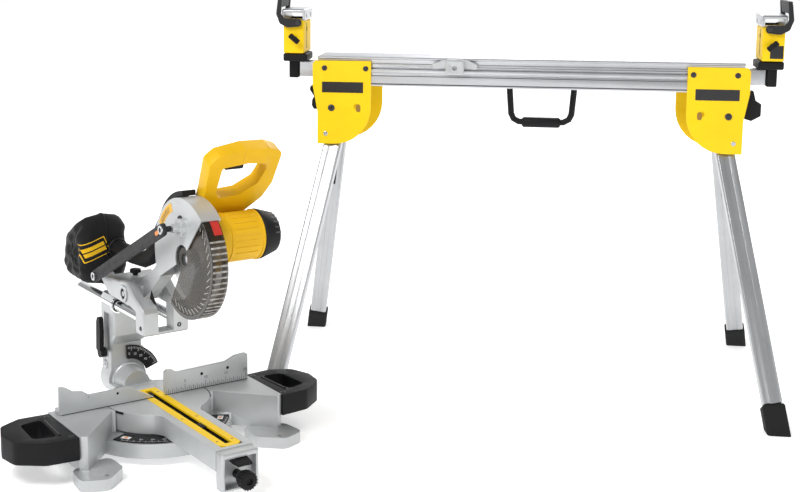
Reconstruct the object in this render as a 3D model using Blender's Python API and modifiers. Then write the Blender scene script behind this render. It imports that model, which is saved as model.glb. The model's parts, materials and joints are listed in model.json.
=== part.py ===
"""Sliding compound mitre saw standing on the floor beside its folding leg stand.

Two families share one world frame, in metres, +Z up, floor at z = 0:
  the stand, modelled about its own centre with the beam along X;
  the saw, modelled with X along the fence, +Y to the rear and its mitre centre at x = y = 0,
  then turned by SAW_YAW and set down in front of the stand's left end.
"""

import math

import bmesh
import bpy
from mathutils import Matrix, Vector

# ------------------------------------------------------------------ places
STAND_AT = Vector((0.2207, 0.2643, 0.0))
SAW_FROM_STAND = Vector((-0.760, -0.578, 0.0))
SAW_YAW = math.radians(42.0)
GAP = 0.0003

# ------------------------------------------------------------------ stand
BEAM_LENGTH = 1.000
BEAM_DEPTH = 0.120
BEAM_HEIGHT = 0.070
BEAM_TOP = 0.785
PLATE = 0.004
LEG_WIDTH = 0.042
LEG_DEPTH = 0.030
LEG_PIVOT = Vector((0.4615, 0.033, 0.585))
LEG_FOOT = Vector((0.568, 0.335, 0.0))
LEG_ABOVE_PIVOT = 0.026
FOOT_SLEEVE = 0.062
EXTENSION = 0.038
EXTENSION_LENGTH = 0.430
SUPPORT_X = 0.561
SUPPORT_SIZE = Vector((0.050, 0.100, 0.078))
SUPPORT_Z = 0.790
STOP_PIVOT = Vector((0.541, 0.0, 0.864))
CARRY_X = 0.036

# ------------------------------------------------------------------ saw
TABLE_Z = 0.094
TABLE_R = 0.112
ARM_HALF = 0.043
ARM_FRONT = -0.342
KERF_FRONT = -0.332
SCALE_Z = 0.048
TRAY_R = 0.158
WING_X = 0.232
FENCE_T = 0.008
TRUNNION_Y = 0.150
COLUMN_HALF = 0.042
RAIL_X = 0.031
RAIL_Z = 0.272
RAIL_R = 0.012
PIVOT = Vector((0.0, 0.045, 0.319))
ARBOR = Vector((0.0, -0.178, 0.434))
BLADE_R = 0.095
GUARD_R = 0.124
MOTOR = Vector((0.0, -0.200, 0.473))
MOTOR_R = 0.050
HANDLE_AT = Vector((0.004, -0.198, 0.575))
HANDLE_TILT = math.radians(26.0)
HANDLE_T = 0.032
HANDLE_LOW = -0.068
TRIGGER_TRAVEL = 0.003
LINK_REAR = Vector((-0.068, 0.155, 0.336))
LINK_FRONT = Vector((-0.068, -0.183, 0.501))
KNOB_AT = Vector((0.0, -0.365, 0.042))

FINISHES = {
    "silver": ((0.62, 0.63, 0.64), 0.42, 0.6),
    "aluminium": ((0.72, 0.73, 0.74), 0.32, 0.9),
    "chrome": ((0.85, 0.86, 0.87), 0.12, 1.0),
    "yellow": ((0.95, 0.62, 0.02), 0.38, 0.0),
    "black": ((0.02, 0.02, 0.022), 0.55, 0.0),
    "charcoal": ((0.07, 0.07, 0.08), 0.5, 0.1),
    "rubber": ((0.015, 0.015, 0.015), 0.85, 0.0),
    "steel": ((0.55, 0.56, 0.58), 0.25, 1.0),
    "smoke": ((0.30, 0.29, 0.27), 0.15, 0.0),
    "cloth": ((0.02, 0.02, 0.022), 0.95, 0.0),
}


# ------------------------------------------------------------------ helpers
def clear_scene():
    """Start from nothing."""
    for obj in list(bpy.data.objects):
        bpy.data.objects.remove(obj, do_unlink=True)


def finish(name):
    """The Principled material for one named finish, made once."""
    found = bpy.data.materials.get(name)
    if found:
        return found
    colour, rough, metal = FINISHES[name]
    mat = bpy.data.materials.new(name)
    mat.use_nodes = True
    shader = mat.node_tree.nodes["Principled BSDF"]
    shader.inputs["Base Color"].default_value = (*colour, 1.0)
    shader.inputs["Roughness"].default_value = rough
    shader.inputs["Metallic"].default_value = metal
    return mat


def empty(name, at, parent=None, yaw=0.0):
    """An empty on a joint axis, placed in its family's coordinates."""
    obj = bpy.data.objects.new(name, None)
    PARTS.objects.link(obj)
    origin = Vector(at)
    if parent:
        obj.parent = parent
        obj.location = origin - Vector(parent["origin"])
    else:
        obj.location = origin
        obj.rotation_euler = (0.0, 0.0, yaw)
        origin = Vector((0.0, 0.0, 0.0))
    obj["origin"] = origin
    return obj


def settle(obj, name, frame, colour):
    """Name a finished piece, give it its finish and hang it on its joint empty."""
    obj.data.transform(obj.matrix_basis)
    obj.matrix_basis = Matrix.Identity(4)
    obj.data.transform(Matrix.Translation(-Vector(frame["origin"])))
    obj.name = name
    obj.data.name = name
    obj.data.materials.clear()
    obj.data.materials.append(finish(colour))
    for collection in list(obj.users_collection):
        collection.objects.unlink(obj)
    PARTS.objects.link(obj)
    obj.parent = frame
    obj.data.shade_smooth()
    obj.data.set_sharp_from_angle(angle=math.radians(35))
    return obj


def bake(obj):
    """Replace an object's data by its evaluated mesh, with loose caps welded."""
    depsgraph = bpy.context.evaluated_depsgraph_get()
    mesh = bpy.data.meshes.new_from_object(obj.evaluated_get(depsgraph))
    made = bpy.data.objects.new("shape", mesh)
    made.matrix_basis = obj.matrix_basis.copy()
    bpy.context.scene.collection.objects.link(made)
    bpy.data.objects.remove(obj, do_unlink=True)
    edit = bmesh.new()
    edit.from_mesh(mesh)
    bmesh.ops.remove_doubles(edit, verts=edit.verts, dist=0.000002)
    edit.to_mesh(mesh)
    edit.free()
    mesh.transform(made.matrix_basis)
    made.matrix_basis = Matrix.Identity(4)
    return made


def box(low, high, soft=0.0, steps=1):
    """A box between two corners, its edges bevelled by soft."""
    low = Vector(low)
    high = Vector(high)
    bpy.ops.mesh.primitive_cube_add(size=1.0, location=(low + high) / 2)
    obj = bpy.context.object
    obj.scale = high - low
    bpy.ops.object.transform_apply(location=False, rotation=False, scale=True)
    if soft:
        round_edges(obj, soft, steps)
    return bake(obj)


def round_edges(obj, width, steps=1):
    """A Bevel modifier on every edge sharper than 50 degrees."""
    bevel = obj.modifiers.new("edges", "BEVEL")
    bevel.width = width
    bevel.segments = steps
    bevel.limit_method = "ANGLE"
    bevel.angle_limit = math.radians(50)


def rod(start, end, radius, sides=24, end_radius=None, soft=0.0):
    """A cylinder, or a cone, between two points."""
    start = Vector(start)
    end = Vector(end)
    along = end - start
    bpy.ops.mesh.primitive_cone_add(
        vertices=sides,
        radius1=radius,
        radius2=radius if end_radius is None else end_radius,
        depth=along.length,
        location=(start + end) / 2,
        rotation=along.to_track_quat("Z", "Y").to_euler(),
    )
    obj = bpy.context.object
    if soft:
        round_edges(obj, soft)
    return bake(obj)


def arc(centre, radius, first, last, steps):
    """Points along an arc, angles in degrees."""
    return [
        (
            centre[0] + radius * math.cos(math.radians(first + (last - first) * i / steps)),
            centre[1] + radius * math.sin(math.radians(first + (last - first) * i / steps)),
        )
        for i in range(steps + 1)
    ]


def rounded(points, radius, steps=3):
    """The outline with each corner turned into a fillet of this radius, or as much as fits."""
    outline = []
    count = len(points)
    for i in range(count):
        here = Vector(points[i])
        back = Vector(points[i - 1]) - here
        ahead = Vector(points[(i + 1) % count]) - here
        half = back.angle(ahead) / 2
        reach = min(radius / math.tan(half), back.length * 0.45, ahead.length * 0.45)
        start = here + back.normalized() * reach
        end = here + ahead.normalized() * reach
        for k in range(steps + 1):
            t = k / steps
            outline.append(tuple((1 - t) ** 2 * start + 2 * t * (1 - t) * here + t * t * end))
    return outline


def plate(points, plane, low, high, holes=(), soft=0.0):
    """A flat outline in the XY, XZ or YZ plane, thick from low to high along the plane's normal."""
    curve = bpy.data.curves.new("outline", "CURVE")
    curve.dimensions = "2D"
    curve.fill_mode = "BOTH"
    curve.extrude = (high - low) / 2
    for ring in (points, *holes):
        spline = curve.splines.new("POLY")
        spline.points.add(len(ring) - 1)
        for point, (a, b) in zip(spline.points, ring):
            point.co = (a, b, 0.0, 1.0)
        spline.use_cyclic_u = True
    obj = bpy.data.objects.new("outline", curve)
    bpy.context.scene.collection.objects.link(obj)
    turns = {
        "XY": Matrix.Identity(3),
        "XZ": Matrix(((1, 0, 0), (0, 0, -1), (0, 1, 0))),
        "YZ": Matrix(((0, 0, 1), (1, 0, 0), (0, 1, 0))),
    }
    middle = (low + high) / 2
    offset = {"XY": (0, 0, middle), "XZ": (0, middle, 0), "YZ": (middle, 0, 0)}[plane]
    obj.matrix_basis = Matrix.Translation(offset) @ turns[plane].to_4x4()
    bpy.context.view_layer.update()
    made = bake(obj)
    if soft:
        round_edges(made, soft)
        made = bake(made)
    return made


def bent(points, radius, sides=2):
    """A tube along a polyline, with filled ends."""
    curve = bpy.data.curves.new("tube", "CURVE")
    curve.dimensions = "3D"
    curve.bevel_depth = radius
    curve.bevel_resolution = sides
    curve.use_fill_caps = True
    spline = curve.splines.new("POLY")
    spline.points.add(len(points) - 1)
    for point, place in zip(spline.points, points):
        point.co = (*place, 1.0)
    obj = bpy.data.objects.new("tube", curve)
    bpy.context.scene.collection.objects.link(obj)
    bpy.context.view_layer.update()
    return bake(obj)


def combine(base, others, operation):
    """Apply one Boolean operation with each of the others, then drop them."""
    for other in others:
        step = base.modifiers.new("combine", "BOOLEAN")
        step.operation = operation
        step.solver = "EXACT"
        step.object = other
        bpy.context.view_layer.update()
        base = bake(base)
        bpy.data.objects.remove(other, do_unlink=True)
    return base


def join(base, *others):
    """The union of shapes."""
    return combine(base, others, "UNION")


def cut(base, *others):
    """The first shape without the others."""
    return combine(base, others, "DIFFERENCE")


def mirrored(points, side):
    """An outline with its first coordinate multiplied by side."""
    return [(side * a, b) for a, b in points]


def span(side, near, far):
    """Two x values on one side, lowest first."""
    return (near, far) if side > 0 else (-far, -near)


# ------------------------------------------------------------------ stand pieces
def beam_profile():
    """The extrusion's section: lips, a T-slot and grooves down the front, the same on the rear."""
    front = [
        (0.058, 0.000),
        (0.060, -0.002),
        (0.060, -0.005),
        (0.0575, -0.006),
        (0.0575, -0.021),
        (0.060, -0.022),
        (0.060, -0.024),
        (0.050, -0.024),
        (0.050, -0.029),
        (0.060, -0.029),
        (0.060, -0.037),
        (0.058, -0.038),
        (0.058, -0.041),
        (0.060, -0.042),
        (0.060, -0.066),
        (0.055, -0.070),
    ]
    rear = [(-a, b) for a, b in reversed(front)]
    return [(a, BEAM_TOP + b) for a, b in front + rear]


def make_beam(stand):
    """The extruded beam, bored for the two extension tubes."""
    mid = BEAM_TOP - BEAM_HEIGHT / 2
    half = EXTENSION / 2 + GAP
    bore = [(-half, mid - half), (half, mid - half), (half, mid + half), (-half, mid + half)]
    beam = plate(beam_profile(), "YZ", -BEAM_LENGTH / 2, BEAM_LENGTH / 2, holes=[bore])
    settle(beam, "beam", stand, "aluminium")


def bracket_outline(side, rear):
    """A leg bracket's outline: straight outer edge with an upper flange, quarter-round lower corner."""
    top = BEAM_TOP - 0.010
    bottom = BEAM_TOP - 0.212
    inner = 0.357 if rear else 0.370
    points = [(0.512, top - 0.008), (0.505, top), (inner, top)]
    points += arc((inner + 0.090, bottom + 0.090), 0.090, 180, 270, 8)
    points += [(0.500, bottom), (0.500, BEAM_TOP - 0.135), (0.512, BEAM_TOP - 0.070)]
    return mirrored(points, side)


def make_brackets(stand):
    """Front and rear leg brackets at both ends, each a steel plate with its release notch."""
    for side, side_name in ((-1, "left"), (1, "right")):
        for rear in (False, True):
            near = BEAM_DEPTH / 2 + GAP
            low, high = (near, near + PLATE) if rear else (-near - PLATE, -near)
            window = arc((side * 0.405, BEAM_TOP - 0.120), 0.007, 0, 315, 7)
            shape = plate(bracket_outline(side, rear), "XZ", low, high, holes=[window])
            name = f"bracket_{side_name}_{'rear' if rear else 'front'}"
            settle(shape, name, stand, "yellow")


def leg_frame(side, depth):
    """Pivot, foot point, and the leg's own axes: x' across, y' through, z' from foot to pivot."""
    pivot = Vector((side * LEG_PIVOT.x, depth * LEG_PIVOT.y, LEG_PIVOT.z))
    foot = Vector((side * LEG_FOOT.x, depth * LEG_FOOT.y, LEG_FOOT.z))
    up = (pivot - foot).normalized()
    across = (Vector((1, 0, 0)) - up * up.x).normalized()
    through = up.cross(across)
    turn = Matrix((across, through, up)).transposed().to_4x4()
    return pivot, foot, Matrix.Translation(foot) @ turn


def make_legs(stand):
    """Four splayed legs with grooved faces, each in a rubber foot, hinged in the brackets."""
    for side, side_name in ((-1, "left"), (1, "right")):
        for depth, depth_name in ((-1, "front"), (1, "rear")):
            pivot, foot, place = leg_frame(side, depth)
            length = (pivot - foot).length
            hinge = empty(f"hinge_leg_{depth_name}_{side_name}", pivot, stand)
            half = Vector((LEG_WIDTH / 2, LEG_DEPTH / 2, 0))
            bottom = FOOT_SLEEVE + GAP
            tube = box((-half.x, -half.y, bottom), (half.x, half.y, length + LEG_ABOVE_PIVOT), 0.003)
            for face in (-1, 1):
                groove = box(
                    (-0.006, face * (half.y - 0.0015) if face > 0 else -half.y - 0.01, -0.1),
                    (0.006, half.y + 0.01 if face > 0 else -half.y + 0.0015, length + 0.1),
                )
                tube = cut(tube, groove)
            tube.data.transform(place)
            settle(tube, f"leg_{depth_name}_{side_name}", hinge, "aluminium")
            sleeve = box((-0.025, -0.019, -0.05), (0.025, 0.019, FOOT_SLEEVE), 0.004)
            sleeve.data.transform(place)
            floor = box((-2, -2, -1), (2, 2, 0))
            settle(cut(sleeve, floor), f"foot_{depth_name}_{side_name}", hinge, "rubber")


def make_release_levers(stand):
    """Black levers at the outer edge of each bracket pair that free the legs."""
    for side, side_name in ((-1, "left"), (1, "right")):
        pivot = Vector((side * 0.507, -0.040, 0.716))
        hinge = empty(f"hinge_release_{side_name}", pivot, stand)
        if side < 0:
            outline = arc((0.510, 0.704), 0.012, 200, -10, 6)[::-1]
            outline += [(0.500, 0.690), (0.501, 0.655), (0.512, 0.655)]
            outline += [(0.517, 0.664), (0.516, 0.678), (0.511, 0.686)]
        else:
            outline = [(0.503, 0.716), (0.503, 0.655), (0.520, 0.650), (0.541, 0.662), (0.541, 0.690)]
            outline += [(0.528, 0.698), (0.522, 0.722)]
        shape = plate(mirrored(rounded(outline, 0.004, 2), side), "XZ", -0.048, -0.032)
        settle(shape, f"release_lever_{side_name}", hinge, "black")


def make_extension(side, side_name, stand):
    """The square tube that slides out of the beam's end and the bracket on its outer end."""
    slide = empty(f"slide_extension_{side_name}", (side * 0.5, 0, BEAM_TOP - BEAM_HEIGHT / 2), stand)
    mid = BEAM_TOP - BEAM_HEIGHT / 2
    half = EXTENSION / 2
    low, high = span(side, 0.553 - EXTENSION_LENGTH, 0.553)
    tube = box((low, -half, mid - half), (high, half, mid + half), 0.002)
    inner = half - 0.003
    bore = box((-1, -inner, mid - inner), (1, inner, mid + inner))
    settle(cut(tube, bore), f"extension_{side_name}", slide, "aluminium")
    cap = span(side, 0.553 + GAP, 0.577)
    saddle = span(side, 0.530, 0.588)
    stem = span(side, 0.548, 0.574)
    block = box((cap[0], -0.024, 0.728), (cap[1], 0.024, 0.775), 0.002)
    block = join(block, box((saddle[0], -0.045, 0.7698), (saddle[1], 0.045, 0.7890), 0.003))
    block = join(block, box((stem[0], -0.030, 0.780), (stem[1], 0.030, 0.856)))
    settle(block, f"post_{side_name}", slide, "black")
    return slide


def make_support(side, side_name, slide):
    """The height-adjustable work support: yellow box, top plate, flip-up stop and clamp knob."""
    lift = empty(f"slide_support_{side_name}", (side * SUPPORT_X, 0, SUPPORT_Z), slide)
    half = SUPPORT_SIZE / 2
    top = SUPPORT_Z + SUPPORT_SIZE.z
    low, high = span(side, SUPPORT_X - half.x, SUPPORT_X + half.x)
    shell = box((low, -half.y, SUPPORT_Z), (high, half.y, top), 0.002)
    stem = span(side, 0.5475, 0.5745)
    shell = cut(shell, box((stem[0], -0.0305, 0.7), (stem[1], 0.0305, 0.8605)))
    settle(shell, f"support_{side_name}", lift, "yellow")

    cap_low, cap_high = span(side, 0.533, 0.590)
    cap = box((cap_low, -0.052, top + GAP), (cap_high, 0.052, top + 0.028), 0.003)
    tunnel = span(side, 0.539, 0.584)
    cap = cut(cap, box((tunnel[0], -0.06, top - 0.01), (tunnel[1], 0.06, top + 0.020)))
    wall = side * 0.536
    for y in (-0.028, 0.028):
        cap = cut(cap, rod((wall - 0.006, y, top + 0.012), (wall + 0.006, y, top + 0.012), 0.006, 12))
    settle(cap, f"support_top_{side_name}", lift, "aluminium")

    pivot = Vector((side * STOP_PIVOT.x, 0, STOP_PIVOT.z))
    swing = empty(f"hinge_stop_{side_name}", pivot, lift)
    arm = [(0.541, 0.873), (0.541, 0.855), (0.575, 0.852), (0.594, 0.862), (0.602, 0.885)]
    arm += [(0.597, 0.925), (0.587, 0.928), (0.591, 0.885), (0.584, 0.873)]
    arm = rounded(mirrored(arm, side), 0.008, 2)
    stop = plate(arm, "XZ", -0.0590, -0.0525)
    stop = join(stop, plate(arm, "XZ", 0.0525, 0.0590))
    blade = [(0.5915, 0.900), (0.6005, 0.900), (0.5970, 0.9275), (0.5870, 0.9275)]
    stop = join(stop, plate(mirrored(blade, side), "XZ", -0.055, 0.055))
    settle(stop, f"stop_{side_name}", swing, "charcoal")

    centre = Vector((side * 0.557, -half.y, 0.826))
    turn = empty(f"hinge_knob_{side_name}", centre, lift)
    face = centre.y - GAP
    knob = rod((centre.x, face, centre.z), (centre.x, face - 0.010, centre.z), 0.005, 16)
    bar = box((-0.014, -0.0215, -0.006), (0.014, -0.0092, 0.006), 0.002)
    tilt = Matrix.Rotation(math.radians(-40 * side), 4, "Y")
    bar.data.transform(Matrix.Translation((centre.x, face, centre.z)) @ tilt)
    settle(join(knob, bar), f"support_knob_{side_name}", turn, "black")


def make_carry_handle(stand):
    """The carrying handle under the beam: a bent black bar with a thick grip."""
    under = BEAM_TOP - BEAM_HEIGHT - GAP
    path = [(-0.077, under - 0.0005), (-0.072, 0.650), (-0.066, 0.637), (-0.053, 0.630)]
    route = [(CARRY_X + x, 0.0, z) for x, z in path]
    route += [(CARRY_X - x, 0.0, z) for x, z in reversed(path)]
    bar = bent(route, 0.0075)
    grip = rod((CARRY_X - 0.046, 0, 0.629), (CARRY_X + 0.046, 0, 0.629), 0.0125, 16, soft=0.004)
    feet = []
    for x in (CARRY_X - 0.077, CARRY_X + 0.077):
        feet.append(box((x - 0.014, -0.012, under - 0.004), (x + 0.014, 0.012, under)))
    settle(join(bar, grip, *feet), "carry_handle", stand, "black")


def make_beam_clamp(stand):
    """The small cast clamp that slides along the beam's front slot."""
    centre = -0.169
    face = -BEAM_DEPTH / 2 - GAP
    slide = empty("slide_beam_clamp", (centre, face, BEAM_TOP - 0.018), stand)
    wings = [(-0.055, -0.014), (-0.030, -0.004), (0.030, -0.004), (0.055, -0.014)]
    wings += [(0.050, -0.026), (0.022, -0.020), (-0.022, -0.020), (-0.050, -0.026)]
    outline = [(centre + a, BEAM_TOP + b) for a, b in rounded(wings, 0.006, 2)]
    body = plate(outline, "XZ", face - 0.012, face)
    low = (centre - 0.022, face - 0.024, BEAM_TOP - 0.036)
    block = box(low, (centre + 0.022, face, BEAM_TOP - 0.002), 0.003)
    hole = rod((centre, face - 0.03, BEAM_TOP - 0.021), (centre, face - 0.014, BEAM_TOP - 0.021), 0.006, 16)
    settle(cut(join(body, block), hole), "beam_clamp", slide, "silver")


def make_stand():
    """The whole stand."""
    stand = empty("stand", STAND_AT)
    make_beam(stand)
    make_brackets(stand)
    make_legs(stand)
    make_release_levers(stand)
    for side, side_name in ((-1, "left"), (1, "right")):
        make_support(side, side_name, make_extension(side, side_name, stand))
    make_carry_handle(stand)
    make_beam_clamp(stand)


# ------------------------------------------------------------------ saw base
def wing_outline(side):
    """A wing seen from above: straight outer edge, diagonal front edge beside the arm's travel."""
    points = [(0.070, 0.036), (WING_X, 0.036), (WING_X, -0.128)]
    points += [(0.217, -0.138), (0.118, -0.030), (0.070, -0.030)]
    return mirrored(points, side)


def make_base(saw):
    """The base casting: tray ring, two hollow wings and four bolt-down feet."""
    base = plate(arc((0, 0), TRAY_R, -195, 15, 28), "XY", 0.017, SCALE_Z)
    front_lug = [(0.152, -0.090), (0.245, -0.120), (0.252, -0.183), (0.200, -0.202), (0.152, -0.160)]
    rear_lug = [(0.160, 0.000), (0.240, 0.000), (0.262, 0.048), (0.225, 0.066), (0.160, 0.055)]
    for side in (-1, 1):
        base = join(base, plate(wing_outline(side), "XY", 0.020, TABLE_Z))
        for lug in (front_lug, rear_lug):
            base = join(base, plate(rounded(mirrored(lug, side), 0.02), "XY", 0.0, 0.024))
    well = rod((0, 0, SCALE_Z), (0, 0, 0.2), TABLE_R + 0.002, 48)
    base = cut(base, well)
    base = cut(base, rod((0, 0, 0.0), (0, 0, 0.040), 0.098, 32))
    for side in (-1, 1):
        pocket = mirrored([(0.135, 0.026), (0.222, 0.026), (0.222, -0.118), (0.138, -0.036)], side)
        base = cut(base, plate(pocket, "XY", -0.01, TABLE_Z - 0.010))
        for x, y in ((0.196, -0.180), (0.238, 0.046)):
            base = cut(base, rod((side * x, y, -0.01), (side * x, y, 0.05), 0.0045, 12))
    settle(base, "saw_base", saw, "silver")


def make_side_handles(saw):
    """Moulded loops bolted to the outer edge of each wing."""
    for side, side_name in ((-1, "left"), (1, "right")):
        outer = [
            (WING_X + GAP, 0.030),
            (0.296, 0.034),
            (0.342, 0.010),
            (0.358, -0.040),
            (0.350, -0.090),
            (0.298, -0.128),
            (WING_X + GAP, -0.134),
        ]
        outline = outer[:1] + rounded(outer, 0.022, 3)[4:-4] + outer[-1:]
        hole = rounded([(0.260, 0.004), (0.306, -0.004), (0.312, -0.090), (0.266, -0.104)], 0.012)
        shape = plate(
            mirrored(outline, side),
            "XY",
            TABLE_Z - 0.047,
            TABLE_Z - 0.001,
            holes=[mirrored(hole, side)],
            soft=0.005,
        )
        settle(shape, f"side_handle_{side_name}", saw, "black")


def make_mitre_scale(saw):
    """The black arc with the mitre angles, lying on the tray in front of the turntable."""
    inner = TABLE_R + 0.003
    outer = TRAY_R - 0.005
    ring = arc((0, 0), outer, -152, -28, 28) + arc((0, 0), inner, -28, -152, 24)
    settle(plate(ring, "XY", SCALE_Z + GAP, SCALE_Z + 0.0025), "mitre_scale", saw, "black")


def make_fences(saw):
    """Two sliding fence halves: a low left one cut back for bevel cuts, a tall right one."""
    left = [(-0.220, 0.0), (-0.220, 0.058), (-0.215, 0.061), (-0.203, 0.056), (-0.188, 0.046)]
    left += [(-0.167, 0.042), (-0.154, 0.033), (-0.063, 0.033), (-0.006, 0.0)]
    right = [(0.018, 0.0), (0.222, 0.0), (0.222, 0.057), (0.216, 0.061), (0.190, 0.059), (0.166, 0.049)]
    right += [(0.048, 0.046), (0.036, 0.054), (0.024, 0.055), (0.018, 0.050)]
    bottom = TABLE_Z + GAP
    for side_name, outline in (("left", left), ("right", right)):
        slide = empty(f"slide_fence_{side_name}", (outline[0][0], 0, bottom), saw)
        face = plate([(a, bottom + b) for a, b in outline], "XZ", 0.0, FENCE_T)
        low, high = (-0.220, -0.080) if side_name == "left" else (0.080, 0.222)
        rib = box((low, FENCE_T - 0.001, bottom), (high, 0.028, bottom + 0.010))
        settle(join(face, rib), f"fence_{side_name}", slide, "silver")


# ------------------------------------------------------------------ turntable
def make_turntable(table):
    """Disc, front arm and rear trunnion bracket in one casting, slotted for the blade."""
    disc = rod((0, 0, 0.0525), (0, 0, TABLE_Z), TABLE_R, 48)
    arm = [(-0.090, -0.045), (-0.070, -0.085), (-0.052, -0.1005), (-ARM_HALF, -0.118)]
    arm += [(-ARM_HALF, ARM_FRONT)]
    arm += [(-a, b) for a, b in reversed(arm)]
    body = join(disc, plate(arm, "XY", 0.0525, TABLE_Z))
    front = box((-0.041, ARM_FRONT - 0.0225, 0.014), (0.041, ARM_FRONT + 0.004, TABLE_Z - 0.003), 0.003)
    body = join(body, front)
    body = cut(body, box((-0.034, ARM_FRONT - 0.1, 0.020), (0.034, ARM_FRONT - 0.004, TABLE_Z - 0.014)))
    rear = [(-0.045, 0.080), (0.045, 0.080), (0.045, TRUNNION_Y), (-0.045, TRUNNION_Y)]
    body = join(body, plate(rear, "XY", 0.056, TABLE_Z - 0.004))
    body = join(body, rod((0, 0.100, TABLE_Z), (0, TRUNNION_Y, TABLE_Z), 0.030, 32, end_radius=0.037))
    body = join(body, rod((0, 0, SCALE_Z + GAP), (0, 0, 0.060), 0.030, 24))
    body = cut(body, box((-0.0243, KERF_FRONT - GAP, TABLE_Z - 0.0043), (0.0243, 0.0603, 0.2)))
    body = cut(body, box((-0.0140, KERF_FRONT + 0.010, TABLE_Z - 0.024), (0.0140, 0.048, 0.2)))
    settle(body, "turntable", table, "silver")


def make_kerf_plate(table):
    """The yellow insert with the blade slot, let into the table flush with its top."""
    outline = [(-0.024, KERF_FRONT + 0.012), (-0.012, KERF_FRONT), (0.012, KERF_FRONT)]
    outline += [(0.024, KERF_FRONT + 0.012), (0.024, 0.060), (-0.024, 0.060)]
    near = KERF_FRONT + 0.015
    slot = [(-0.0075, near), (0.0075, near), (0.0075, 0.046), (-0.0075, 0.046)]
    shape = plate(outline, "XY", TABLE_Z - 0.004, TABLE_Z, holes=[slot])
    settle(shape, "kerf_plate", table, "yellow")


def make_mitre_controls(table):
    """The mitre lock knob on its shaft and the spring latch paddle above it."""
    turn = empty("hinge_mitre_knob", KNOB_AT, table)
    shaft = rod(KNOB_AT + Vector((0, 0.018, 0)), KNOB_AT, 0.009, 16)
    start = KNOB_AT + Vector((0, 0.002, 0))
    neck = rod(start, start - Vector((0, 0.014, 0)), 0.011, 16, end_radius=0.017)
    grip = rod(KNOB_AT - Vector((0, 0.0115, 0)), KNOB_AT - Vector((0, 0.034, 0)), 0.0175, 16, soft=0.002)
    knob = join(shaft, neck, grip)
    socket = rod(KNOB_AT - Vector((0, 0.030, 0)), KNOB_AT - Vector((0, 0.040, 0)), 0.007, 12)
    settle(cut(knob, socket), "mitre_knob", turn, "black")

    axis = Vector((0.0, -0.354, 0.074))
    swing = empty("hinge_mitre_latch", axis, table)
    side_view = [(-0.347, 0.078), (-0.362, 0.079), (-0.382, 0.074)]
    side_view += [(-0.384, 0.069), (-0.365, 0.068), (-0.347, 0.069)]
    settle(plate(side_view, "YZ", -0.016, 0.016), "mitre_latch", swing, "black")


# ------------------------------------------------------------------ bevel column
def make_column(bevel):
    """The bevel column with its hub, bored for the two rails."""
    side_view = [
        (TRUNNION_Y + GAP, 0.080),
        (TRUNNION_Y + GAP, 0.176),
        (0.124, 0.202),
        (0.124, 0.284),
        (0.132, 0.2935),
        (0.182, 0.2935),
        (0.192, 0.284),
        (0.192, 0.080),
    ]
    column = plate(side_view, "YZ", -COLUMN_HALF, COLUMN_HALF, soft=0.004)
    for side in (-1, 1):
        low, high = span(side, COLUMN_HALF - 0.008, COLUMN_HALF + 0.01)
        column = cut(column, box((low, 0.146, 0.160), (high, 0.176, 0.248)))
    hub = rod((0, TRUNNION_Y + GAP, TABLE_Z), (0, 0.196, TABLE_Z), 0.045, 40)
    column = join(column, hub)
    for side in (-1, 1):
        bore = rod((side * RAIL_X, 0.0, RAIL_Z), (side * RAIL_X, 0.3, RAIL_Z), RAIL_R + GAP, 24)
        column = cut(column, bore)
    settle(column, "bevel_column", bevel, "silver")

    ring = arc((0, TABLE_Z), 0.076, 20, 92, 12) + arc((0, TABLE_Z), 0.046, 92, 20, 10)
    scale = plate(ring, "XZ", TRUNNION_Y - 0.0065, TRUNNION_Y)
    settle(scale, "bevel_scale", bevel, "black")

    pivot = Vector((-COLUMN_HALF - GAP, 0.173, 0.156))
    swing = empty("hinge_bevel_lever", pivot, bevel)
    boss = rod(pivot, pivot - Vector((0.014, 0, 0)), 0.011, 16)
    grip = [(0.162, 0.162), (0.182, 0.162), (0.179, 0.226), (0.173, 0.239), (0.162, 0.237), (0.159, 0.208)]
    lever = join(boss, plate(rounded(grip, 0.004, 2), "YZ", -0.0600, -0.0500))
    settle(lever, "bevel_lever", swing, "black")


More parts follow.
